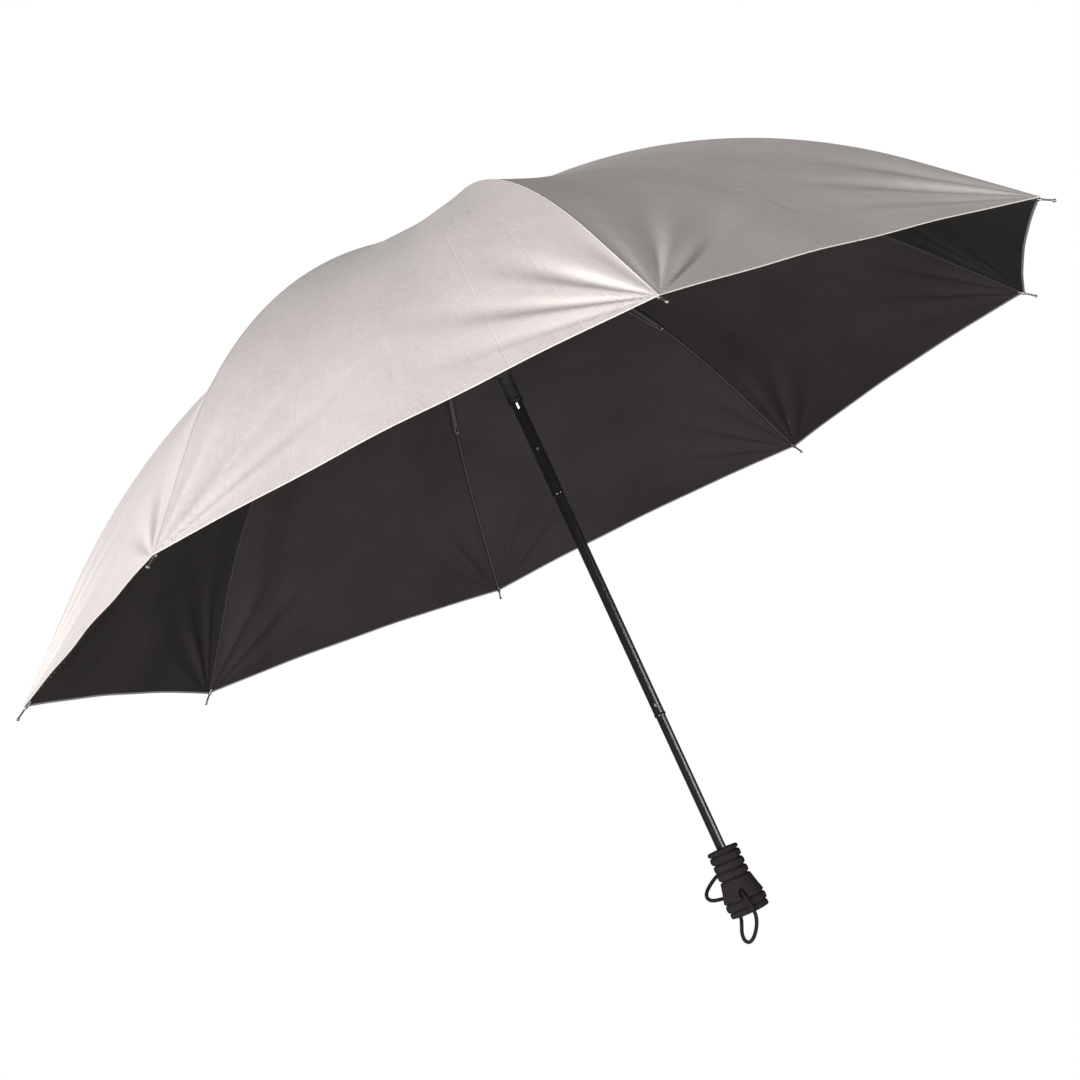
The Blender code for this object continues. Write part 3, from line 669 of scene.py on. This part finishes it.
def strip_grid(canopy, rib, start, end):
    """Points, normals and map places of a strip of cloth along a rib, half a gore to each side."""
    even = np.linspace(-1, 1, 2 * canopy.columns + 1)
    turn = np.sign(even) * np.abs(even) ** RIB_CROWDING
    rows = max(4, round(((end or canopy.corner) - start) / canopy.row_height))
    share = np.linspace(0, 1, rows + 1)
    if end is None:
        share = 1 - (1 - share) ** HEM_CROWDING
    halves = []
    for gore, side in ((rib - 1, 1 + turn[: canopy.columns + 1]), (rib, turn[canopy.columns :] - 1)):
        far = hem_radius(canopy, side) if end is None else np.full_like(side, end)
        radius = start + (far - start) * share[:, None]
        side = np.broadcast_to(side, radius.shape)
        from_hem = (hem_radius(canopy, side) - radius) / np.cos(cloth_slope(canopy, radius))
        fade = np.clip(1 - from_hem / canopy.hem_width, 0, 1)
        thick = canopy.thickness + canopy.hem_extra * fade * fade * (3 - 2 * fade)
        halves.append(
            {
                "outer": cloth_points(canopy, gore, side, radius),
                "inner": cloth_points(canopy, gore, side, radius, thick),
                "normal": cloth_normals(canopy, gore, side, radius),
                "radius": radius,
                "from_hem": from_hem,
            }
        )
    return turn, halves


def joined(halves, key):
    return np.concatenate([halves[0][key], halves[1][key][:, 1:]], axis=1)


def cloth_strip(canopy, name, rib, start, end):
    """One closed strip of cloth. The hem, where the strip has one, is rolled over a round edge."""
    turn, halves = strip_grid(canopy, rib, start, end)
    outer = joined(halves, "outer")
    inner = joined(halves, "inner")
    rows, columns = outer.shape[:2]
    radius = joined(halves, "radius")
    from_hem = joined(halves, "from_hem")
    points = [*outer.reshape(-1, 3), *inner.reshape(-1, 3)]
    under = rows * columns
    hem = []
    if end is None:
        run = outer[-1] - outer[-2]
        run /= np.linalg.norm(run, axis=-1, keepdims=True)
        edge = (outer[-1] + inner[-1]) / 2 + run * HEM_BULGE
        hem = list(range(len(points), len(points) + columns))
        points += [*edge]
    faces = []
    finishes = []
    normals = []

    def add(face, finish, normal=None):
        """Adds a face. One with no normals of its own leaves them to the mesh."""
        faces.append(face)
        finishes.append(finish)
        normals.extend(normal or [(0.0, 0.0, 0.0)] * len(face))

    for row in range(rows - 1):
        for column in range(columns - 1):
            half, first = divmod(column, canopy.columns)
            spots = [(row, 0), (row + 1, 0), (row + 1, 1), (row, 1)]
            face = [r * columns + column + c for r, c in spots]
            out = [halves[half]["normal"][r, first + c] for r, c in spots]
            add(face, 0, out)
            add([under + i for i in reversed(face)], 1, [-n for n in reversed(out)])
    for column in range(columns - 1):
        add([column, column + 1, under + column + 1, under + column], 1)
        last = (rows - 1) * columns + column
        if hem:
            add([last + 1, last, hem[column], hem[column + 1]], 0)
            add([hem[column + 1], hem[column], under + last, under + last + 1], 1)
        else:
            add([last + 1, last, under + last, under + last + 1], 1)
    for row in range(rows - 1):
        for column, order in ((0, 1), (columns - 1, -1)):
            a = row * columns + column
            b = a + columns
            add([a, under + a, under + b, b][::order], 1)
    if hem:
        for column, order in ((0, 1), (columns - 1, -1)):
            last = (rows - 1) * columns + column
            add([last, under + last, hem[column]][::order], 0)
    mesh = bpy.data.meshes.new(name)
    mesh.from_pydata([tuple(p) for p in points], [], faces)
    mesh.polygons.foreach_set("material_index", finishes)
    mesh.polygons.foreach_set("use_smooth", [True] * len(faces))
    across = turn[None, :] * radius * math.sin(GORE / 2)
    cloth_map = np.stack([across, from_hem], axis=-1).reshape(-1, 2)
    fold = np.broadcast_to(turn, radius.shape)
    fold_map = np.stack([fold, radius / canopy.radius], axis=-1).reshape(-1, 2)
    corners = np.zeros(len(mesh.loops), dtype=np.int32)
    mesh.loops.foreach_get("vertex_index", corners)
    for map_name, flat in (("cloth", cloth_map), ("fold", fold_map)):
        table = np.concatenate([flat, flat])
        if hem:
            table = np.concatenate([table, flat[-columns:]])
        layer = mesh.uv_layers.new(name=map_name)
        layer.data.foreach_set("uv", table[corners].astype(np.float32).ravel())
    mesh.normals_split_custom_set([tuple(n) for n in normals])
    piece = bpy.data.objects.new(name, mesh)
    bpy.context.scene.collection.objects.link(piece)
    mesh.materials.append(finish_named("silver_cloth"))
    mesh.materials.append(finish_named("black_lining"))
    return piece


def strip_cut(canopy, start, end):
    """Width, length and area of the flat piece that a strip is cut from."""
    stations = np.linspace(start, end, 60)
    length = float(np.sum(np.hypot(np.diff(stations), np.diff(cloth_height(canopy, stations)))))
    width = 2 * end * math.sin(GORE / 2)
    area = (start + end) * math.sin(GORE / 2) * length
    return width, length, area


class UMBRELLA_OT_cloth(bpy.types.Operator):
    """Sew the cloth: three strips for each rib"""

    bl_idname = "umbrella.cloth"
    bl_label = "Cloth"

    def execute(self, context):
        canopy = context.scene.umbrella_canopy
        # Where each strip starts and ends, and the share of its width that it keeps when folded
        spans = [
            ("top", canopy.hole, canopy.inner_cut, 0.09),
            ("mid", canopy.inner_cut, canopy.outer_cut, 0.05),
            ("outer", canopy.outer_cut, None, 0.04),
        ]
        for rib in range(RIBS):
            for kind, start, end, keep in spans:
                piece = cloth_strip(canopy, f"cloth_{kind}_{rib + 1}", rib, start, end)
                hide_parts(f"canopy_panel_{rib + 1}")
                bone = f"{kind}_rib_{rib + 1}"
                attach(piece, bone)
                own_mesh(piece)
                width, length, area = strip_cut(canopy, start, end or canopy.corner)
        return {"FINISHED"}


# The stem's radius under the cap, and the cap's height over the cloth
CAP_STEM = 0.0024
CAP_GAP = 0.0002


class UMBRELLA_OT_cap(bpy.types.Operator):
    """Turn the cap over the middle of the canopy"""

    bl_idname = "umbrella.cap"
    bl_label = "Cap"

    def execute(self, context):
        canopy = context.scene.umbrella_canopy
        low = canopy.tips_height + canopy.rise + CAP_GAP
        top = CAP_HIGH.z
        outline = [
            (CAP_STEM, CAP_LOW.z + 0.0004),
            (CAP_STEM, low),
            (0.0121, low),
            (0.0124, low + 0.0003),
            (0.0125, low + 0.0010),
            (0.0123, low + 0.0017),
            (0.0115, low + 0.0038),
            (0.0103, top - 0.0029),
            (0.0090, top - 0.0014),
            (0.0075, top - 0.0005),
            (0.0058, top - 0.0001),
            (0.0040, top),
        ]
        cap = turned("cap", outline, 64)
        smooth(cap, 35)
        dress(cap, "black_plastic", "canopy_top")
        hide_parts("top_cap")
        return {"FINISHED"}


# The tip's radii and places along it, from the sleeve's inner end to the ball's neck. The ball's
# middle is at zero.
TIP_OUTLINE = [
    (0.0009, -0.0185),
    (0.0013, -0.0181),
    (0.0015, -0.0172),
    (0.0015, -0.0128),
    (0.0017, -0.0124),
    (0.0017, -0.0117),
    (0.0012, -0.0112),
    (0.0008, -0.0100),
    (0.0007, -0.0080),
    (0.00065, -0.0020),
]
BALL_RADIUS = 0.00145
# How far a rib's middle lies under the cloth's corner
RIB_DEPTH = 0.0022


class UMBRELLA_OT_tips(bpy.types.Operator):
    """Turn the ball tips and their sleeves at the ends of the ribs"""

    bl_idname = "umbrella.tips"
    bl_label = "Rib tips"

    def execute(self, context):
        canopy = context.scene.umbrella_canopy
        outline = list(TIP_OUTLINE)
        for degrees in range(-43, 91, 19):
            angle = math.radians(degrees)
            outline.append((BALL_RADIUS * math.cos(angle), BALL_RADIUS * math.sin(angle)))
        pattern = turned("rib_tip", outline, 20)
        smooth(pattern, 45)
        slope = bend_slope(canopy)
        corner_height = float(cloth_height(canopy, np.array(canopy.corner)))
        rise = canopy.tips_height - corner_height + RIB_DEPTH * math.cos(slope)
        run = canopy.radius - canopy.corner + RIB_DEPTH * math.sin(slope)
        spot = Matrix.Translation((canopy.radius, 0, canopy.tips_height))
        lean = Matrix.Rotation(math.pi / 2 - math.atan2(rise, run), 4, "Y")
        copy_to_ribs(pattern, {"rib_tip": spot @ lean}, "rib_steel", "outer_rib")
        return {"FINISHED"}


def rib_joints():
    """The places of the first rib's inner and outer joints."""
    found = {joint["name"]: joint for joint in frame["joints"]}
    return [Vector(found[f"{kind}_rib_1_hinge"]["pos_m"]) for kind in ("mid", "outer")]


# The rivet's radii and places along it, from its middle out. The other half is the same.
RIVET_HALF = [
    (0.0005, 0.0018),
    (0.0014, 0.00185),
    (0.0014, 0.0020),
    (0.0011, 0.0024),
    (0.0006, 0.0026),
]


class UMBRELLA_OT_rivets(bpy.types.Operator):
    """Set a rivet through each joint of each rib"""

    bl_idname = "umbrella.rivets"
    bl_label = "Rivets"

    def execute(self, context):
        first_half = [(radius, -place) for radius, place in reversed(RIVET_HALF)]
        pattern = turned("rivet", first_half + RIVET_HALF, 12)
        smooth(pattern, 35)
        lie_across = Matrix.Rotation(math.pi / 2, 4, "X")
        inner, outer = (Matrix.Translation(spot) @ lie_across for spot in rib_joints())
        places = {"inner_rivet": inner, "outer_rivet": outer}
        copy_to_ribs(pattern, places, "bright_steel", "mid_rib")
        return {"FINISHED"}


# The wire's route: share of the middle rib's length, distance beside it and depth below it
WIRE_ROUTE = [
    (0.004, 0.0022, 0.0042),
    (0.06, 0.0027, 0.0040),
    (0.5, 0.0030, -0.0022),
    (0.94, 0.0027, -0.0006),
    (0.996, 0.0022, -0.0010),
]
WIRE_RADIUS = 0.00045


class UMBRELLA_OT_wires(bpy.types.Operator):
    """Bend the restoring wires beside the middle ribs"""

    bl_idname = "umbrella.wires"
    bl_label = "Restoring wires"

    def execute(self, context):
        inner, outer = rib_joints()
        run = outer - inner
        below = Vector((run.z, 0, -run.x)).normalized()
        beside = Vector((0, 1, 0))
        deselect()
        bpy.ops.curve.primitive_nurbs_path_add()
        pattern = bpy.context.active_object
        for knot, (share, aside, depth) in zip(pattern.data.splines[0].points, WIRE_ROUTE):
            knot.co = (*(inner + run * share + beside * aside + below * depth), 1)
        pattern.data.bevel_depth = WIRE_RADIUS
        pattern.data.bevel_resolution = 1
        pattern.data.resolution_u = 6
        pattern.data.use_fill_caps = True
        bpy.ops.object.convert(target="MESH")
        pattern = bpy.context.active_object
        smooth(pattern, 60)
        places = {"restoring_wire": Matrix.Identity(4)}
        copy_to_ribs(pattern, places, "bright_steel", "mid_rib")
        return {"FINISHED"}


# What a rolled rim adds to its tube's radius, and heights above the tube's lower end
RIM_OUTLINE = [
    (0.00002, 0.0001),
    (0.00025, 0.0),
    (0.00042, 0.0003),
    (0.00042, 0.0016),
    (0.00022, 0.0022),
    (0.00002, 0.0023),
]


class UMBRELLA_OT_tube_rims(bpy.types.Operator):
    """Roll the rims at the lower ends of the two outer tubes"""

    bl_idname = "umbrella.tube_rims"
    bl_label = "Tube rims"

    def execute(self, context):
        for name, node, body in (
            ("upper_rim", "upper_tube", "canopy_top"),
            ("mid_rim", "mid_tube", "mid_tube"),
        ):
            low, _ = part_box(node)
            outline = [(extra - low.y, low.z + height) for extra, height in RIM_OUTLINE]
            rim = turned(name, outline, 48, ring=True)
            smooth(rim, 50)
            dress(rim, "shaft_enamel", body)
        return {"FINISHED"}


# The grip and its cord. The tables hold places on the grip in millimetres: to its side, towards
# its front, and down from its top face.
FRONT = math.radians(-102.8)
CORD_SPACING = 0.0011
FIRST_HOLE_WIDER = 1.12
RING_FULLNESS = 2.6

# Both ends of each hole for the cord
CORD_HOLES = [
    ((0.0, 8.5, 33.0), (0.0, 22.5, 45.6)),
    ((-9.2, 1.8, 54.5), (-9.6, 1.8, 63.0)),
    ((-8.5, -5.6, 18.7), (-16.0, -8.4, 20.6)),
    ((-9.0, -0.5, 39.7), (-22.0, -0.5, 38.6)),
]

LOWER_LOOP = [
    (0.0, 10.5, 34.8), (0.1, 14.0, 38.0), (0.4, 18.0, 41.3), (1.3, 20.7, 45.4),
    (2.2, 21.6, 50.4), (2.7, 21.3, 55.6), (2.6, 20.0, 60.8), (1.0, 17.5, 66.5),
    (-2.5, 14.6, 72.8), (-7.2, 11.8, 78.2), (-11.8, 9.0, 80.3), (-14.8, 6.6, 77.6),
    (-14.5, 4.4, 71.8), (-12.2, 2.6, 66.1), (-10.2, 1.9, 61.2), (-9.3, 1.8, 56.2),
]

SIDE_LOOP = [
    (-9.6, -6.0, 19.0), (-13.0, -7.3, 19.9), (-17.0, -8.0, 21.6), (-21.5, -7.4, 24.2),
    (-26.0, -5.8, 27.4), (-28.8, -4.0, 31.0), (-28.6, -2.5, 34.6), (-25.8, -1.4, 37.0),
    (-21.8, -0.8, 38.2), (-17.0, -0.5, 39.1), (-12.0, -0.5, 39.5), (-10.2, -0.5, 39.6),
]


def grip_point(aside, ahead, down):
    """A place in metres from one of the tables."""
    side = Vector((-math.sin(FRONT), math.cos(FRONT), 0))
    front = Vector((math.cos(FRONT), math.sin(FRONT), 0))
    height = Vector((0, 0, GRIP_HIGH.z - down / 1000))
    return side * (aside / 1000) + front * (ahead / 1000) + height


def rounded_ring(top, bottom, radius, groove, steps=10):
    """The full, round edge of one ring of foam, from the groove above it to the groove below."""
    middle = (top + bottom) / 2
    half = (bottom - top) / 2
    outline = []
    for step in range(steps + 1):
        share = math.sin(math.pi * (step / steps - 0.5))
        bulge = (1 - abs(share) ** RING_FULLNESS) ** (1 / RING_FULLNESS)
        outline.append((groove + (radius - groove) * bulge, middle + half * share))
    return outline


def grip_outline(grip):
    """Radii and depths of the grip, out from the shaft's bore, down its outside and back up its end."""
    length = GRIP_HIGH.z - GRIP_LOW.z
    neck = (grip.ring_radius, grip.groove_radius)
    outline = [(grip.bore, 0.0006), (grip.bore + 0.0006, 0.0)]
    for top, bottom in ((0.0, 0.0039), (0.0045, 0.0109), (0.0119, 0.0184), (0.0194, 0.0258)):
        outline += rounded_ring(top, bottom, *neck)
    bell = grip.bell_radius
    outline += [
        (0.0122, 0.0266),
        (0.0134, 0.0269),
        (0.0139, 0.0273),
        (0.0142, 0.0283),
        (0.0150, 0.0315),
        (0.0158, 0.0350),
        (0.0167, 0.0385),
        (0.0176, 0.0415),
        (bell - 0.0001, 0.0435),
        (bell, 0.0441),
        (bell - 0.0004, 0.0448),
        (0.0172, 0.0452),
        (0.0166, 0.0458),
    ]
    outline += rounded_ring(0.0462, 0.0527, bell + 0.0001, 0.0166)
    outline += rounded_ring(0.0534, 0.0585, 0.0174, 0.0160)[:-2]
    outline += [(0.0140, length - 0.0004), (0.0090, length), (grip.end_bore, length - 0.0002)]
    outline += [(grip.end_bore, length - 0.0060)]
    return [(radius, GRIP_HIGH.z - down) for radius, down in outline]


class UMBRELLA_OT_grip(bpy.types.Operator):
    """Turn the ribbed foam grip and bore the holes for its cord"""

    bl_idname = "umbrella.grip"
    bl_label = "Grip"

    def execute(self, context):
        settings = context.scene.umbrella_grip
        grip = turned("grip", grip_outline(settings), settings.sides, ring=True)
        for number, (start, end) in enumerate(CORD_HOLES):
            first = grip_point(*start)
            last = grip_point(*end)
            run = last - first
            wide = FIRST_HOLE_WIDER if number == 0 else 1.0
            deselect()
            bpy.ops.mesh.primitive_cylinder_add(
                vertices=28,
                radius=settings.cord_hole * wide,
                depth=run.length,
                location=(first + last) / 2,
                rotation=run.to_track_quat("Z", "Y").to_euler(),
            )
            drill = bpy.context.active_object
            take(grip)
            bore = grip.modifiers.new("bore", "BOOLEAN")
            bore.operation = "DIFFERENCE"
            bore.solver = "EXACT"
            bore.object = drill
            bpy.ops.object.modifier_apply(modifier="bore")
            discard(drill)
        smooth(grip, 50)
        dress(grip, "grip_foam", "handle")
        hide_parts("grip_foam")
        return {"FINISHED"}


def smooth_route(points, spacing):
    """Points a spacing apart along a smooth curve through the given ones."""
    padded = [2 * points[0] - points[1], *points, 2 * points[-1] - points[-2]]
    fine = []
    for a, b, c, d in zip(padded, padded[1:], padded[2:], padded[3:]):
        for i in range(20):
            t = i / 20
            bend = 2 * a - 5 * b + 4 * c - d
            twist = 3 * b - a - 3 * c + d
            fine.append(0.5 * (2 * b + (c - a) * t + bend * t**2 + twist * t**3))
    fine.append(points[-1])
    lengths = [0.0]
    for a, b in zip(fine, fine[1:]):
        lengths.append(lengths[-1] + (b - a).length)
    count = max(2, round(lengths[-1] / spacing))
    result = []
    index = 0
    for i in range(count + 1):
        target = lengths[-1] * i / count
        while index < len(fine) - 2 and lengths[index + 1] < target:
            index += 1
        share = (target - lengths[index]) / (lengths[index + 1] - lengths[index])
        result.append(fine[index].lerp(fine[index + 1], share))
    return result


def cord_tube(name, route, diameter, sides=20):
    """A closed tube along a route, with a map that runs round it and along it for its braid."""
    radius = diameter / 2
    points = []
    maps = []
    travelled = 0.0
    ahead = (route[1] - route[0]).normalized()
    beside = ahead.orthogonal().normalized()
    for i, spot in enumerate(route):
        before = route[max(i - 1, 0)]
        after = route[min(i + 1, len(route) - 1)]
        turned_ahead = (after - before).normalized()
        beside = ahead.rotation_difference(turned_ahead) @ beside
        ahead = turned_ahead
        travelled += (spot - before).length
        over = ahead.cross(beside)
        for k in range(sides):
            angle = 2 * math.pi * k / sides
            points.append(spot + (beside * math.cos(angle) + over * math.sin(angle)) * radius)
        maps.append(travelled)
    rings = len(route)
    faces = []
    uvs = []
    for i in range(rings - 1):
        for k in range(sides):
            j = (k + 1) % sides
            faces.append((i * sides + k, i * sides + j, (i + 1) * sides + j, (i + 1) * sides + k))
            low, high = k / sides, (k + 1) / sides
            uvs += [(low, maps[i]), (high, maps[i]), (high, maps[i + 1]), (low, maps[i + 1])]
    for first, order in ((0, -1), ((rings - 1) * sides, 1)):
        faces.append([first + k for k in range(sides)][::order])
        uvs += [(0.0, 0.0)] * sides
    mesh = bpy.data.meshes.new(name)
    mesh.from_pydata(points, [], faces)
    layer = mesh.uv_layers.new(name="braid")
    layer.data.foreach_set("uv", np.array(uvs, dtype=np.float32).ravel())
    piece = bpy.data.objects.new(name, mesh)
    bpy.context.scene.collection.objects.link(piece)
    smooth(piece, 50)
    return piece, travelled


class UMBRELLA_OT_cords(bpy.types.Operator):
    """Thread the two loops of the wrist cord through the grip"""

    bl_idname = "umbrella.cords"
    bl_label = "Wrist cord"

    def execute(self, context):
        diameter = context.scene.umbrella_grip.cord_diameter
        for node, corners, lay in (
            ("wrist_cord_lower", LOWER_LOOP, "hanging"),
            ("wrist_cord_side", SIDE_LOOP, "loose"),
        ):
            route = smooth_route([grip_point(*spot) for spot in corners], CORD_SPACING)
            piece, length = cord_tube(f"{node}_braid", route, diameter)
            dress(piece, "braided_cord", "handle")
            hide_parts(node)
        return {"FINISHED"}


# The frame's pieces that aren't of rib steel
FRAME_FINISHES = {
    "shaft_enamel": ("upper_tube", "mid_tube", "lower_tube"),
    "black_plastic": ("crown", "runner", "canopy_washer", "grip_core", "grip_end_cap"),
    "bright_steel": ("crown_wire", "runner_wire", "upper_button", "lower_button", "runner_catch"),
}


class UMBRELLA_OT_frame_finishes(bpy.types.Operator):
    """Give the frame's own pieces their finishes"""

    bl_idname = "umbrella.frame_finishes"
    bl_label = "Frame finishes"

    def execute(self, context):
        chosen = {name: finish for finish, names in FRAME_FINISHES.items() for name in names}
        for name, node in frame["nodes"].items():
            if node.hide_render:
                continue
            finish = finish_named(chosen.get(name, "rib_steel"))
            for slot in node.material_slots:
                slot.material = finish
        return {"FINISHED"}


# The camera's own axes and place, and what the lights point at
CAMERA_RIGHT = (0.90307, -0.12438, -0.41108)
CAMERA_UP = (0.37988, -0.21520, 0.89965)
CAMERA_BACK = (-0.20037, -0.96862, -0.14709)
CAMERA_PLACE = (-0.352594, -1.547034, 0.053978)
LIT_MIDDLE = Vector((0, 0, 0.35))
FLOOR_SIZE = 30


def soft_light(name, spot, width, height, power):
    """A soft box that faces the middle of the umbrella."""
    light = bpy.data.lights.new(name, "AREA")
    light.shape = "RECTANGLE"
    light.size = width
    light.size_y = height
    light.energy = power
    lamp = bpy.data.objects.new(name, light)
    bpy.context.scene.collection.objects.link(lamp)
    aim = LIT_MIDDLE - Vector(spot)
    lamp.matrix_world = Matrix.Translation(spot) @ aim.to_track_quat("-Z", "Y").to_matrix().to_4x4()


def room(brightness):
    """A white surround that lights the umbrella only dimly."""
    world = bpy.data.worlds.new("room")
    bpy.context.scene.world = world
    paint = Paint(world)
    white = paint.node("ShaderNodeBackground", None, {"Color": WHITE, "Strength": 1.0})
    dim = paint.node("ShaderNodeBackground", None, {"Color": WHITE, "Strength": brightness})
    camera_ray = paint.node("ShaderNodeLightPath")["Is Camera Ray"]
    seen = paint.mix(camera_ray, dim["Background"], white["Background"])
    paint.node("ShaderNodeOutputWorld", None, {"Surface": seen})


def white_floor(height):
    """A floor that is white from above and clear from below, and leaves the light as it is."""
    deselect()
    bpy.ops.mesh.primitive_plane_add(size=FLOOR_SIZE, location=(0, 0, height))
    floor = bpy.context.active_object
    floor.name = "floor"
    paint = Paint(bpy.data.materials.new("floor"))
    glow = paint.node("ShaderNodeEmission", None, {"Color": WHITE, "Strength": 1.0})
    clear = paint.node("ShaderNodeBsdfTransparent")
    below = paint.node("ShaderNodeNewGeometry")["Backfacing"]
    seen = paint.mix(below, glow["Emission"], clear["BSDF"])
    paint.node("ShaderNodeOutputMaterial", None, {"Surface": seen})
    floor.data.materials.append(paint.owner)
    floor.visible_diffuse = False
    floor.visible_glossy = False
    floor.visible_shadow = False


class UMBRELLA_OT_stage(bpy.types.Operator):
    """Set up the camera, the lights and the floor"""

    bl_idname = "umbrella.stage"
    bl_label = "Stage"

    def execute(self, context):
        stage = context.scene.umbrella_stage
        camera = bpy.data.objects.new("camera", bpy.data.cameras.new("camera"))
        context.scene.collection.objects.link(camera)
        place = Matrix((CAMERA_RIGHT, CAMERA_UP, CAMERA_BACK)).transposed().to_4x4()
        place.translation = CAMERA_PLACE
        camera.matrix_world = place
        camera.data.lens = stage.lens
        context.scene.camera = camera
        context.scene.view_settings.view_transform = "Standard"
        soft_light("key", (-3.55, -0.68, 2.62), 1.5, 1.5, stage.key_power)
        soft_light("fill", (-1.15, -1.9, -0.65), 1.2, 1.2, stage.fill_power)
        soft_light("strip", (1.15, -1.45, -0.45), 0.14, 1.8, stage.strip_power)
        room(stage.surround)
        white_floor(stage.floor_height)
        return {"FINISHED"}


OPERATORS = (
    UMBRELLA_OT_stage,
    UMBRELLA_OT_cords,
    UMBRELLA_OT_grip,
    UMBRELLA_OT_cloth,
    UMBRELLA_OT_cap,
    UMBRELLA_OT_tips,
    UMBRELLA_OT_rivets,
    UMBRELLA_OT_wires,
    UMBRELLA_OT_tube_rims,
    UMBRELLA_OT_frame_finishes,
)


class UMBRELLA_PT_panel(bpy.types.Panel):
    """Every step, in the order it is done"""

    bl_label = "Umbrella"
    bl_idname = "UMBRELLA_PT_panel"
    bl_space_type = "VIEW_3D"
    bl_region_type = "UI"
    bl_category = "Umbrella"

    def draw(self, context):
        for operator in OPERATORS:
            self.layout.operator(operator.bl_idname)
        for name in SETTINGS:
            group = getattr(context.scene, name)
            for entry in group.bl_rna.properties:
                if entry.identifier not in ("rna_type", "name"):
                    self.layout.prop(group, entry.identifier)


SETTINGS = {
    "umbrella_canopy": UmbrellaCanopySettings,
    "umbrella_grip": UmbrellaGripSettings,
    "umbrella_finishes": UmbrellaFinishSettings,
    "umbrella_stage": UmbrellaStageSettings,
}


def register():
    for item in (*SETTINGS.values(), *OPERATORS, UMBRELLA_PT_panel):
        bpy.utils.register_class(item)
    for name, group in SETTINGS.items():
        setattr(bpy.types.Scene, name, PointerProperty(type=group))


def unregister():
    for name in SETTINGS:
        delattr(bpy.types.Scene, name)
    for item in (UMBRELLA_PT_panel, *reversed(OPERATORS), *SETTINGS.values()):
        bpy.utils.unregister_class(item)


def main():
    register()
    bpy.ops.umbrella.stage()
    bpy.ops.umbrella.cords()
    bpy.ops.umbrella.grip()
    bpy.ops.umbrella.cloth()
    bpy.ops.umbrella.cap()
    bpy.ops.umbrella.tips()
    bpy.ops.umbrella.rivets()
    bpy.ops.umbrella.wires()
    bpy.ops.umbrella.tube_rims()
    bpy.ops.umbrella.frame_finishes()


if __name__ == "__main__":
    main()
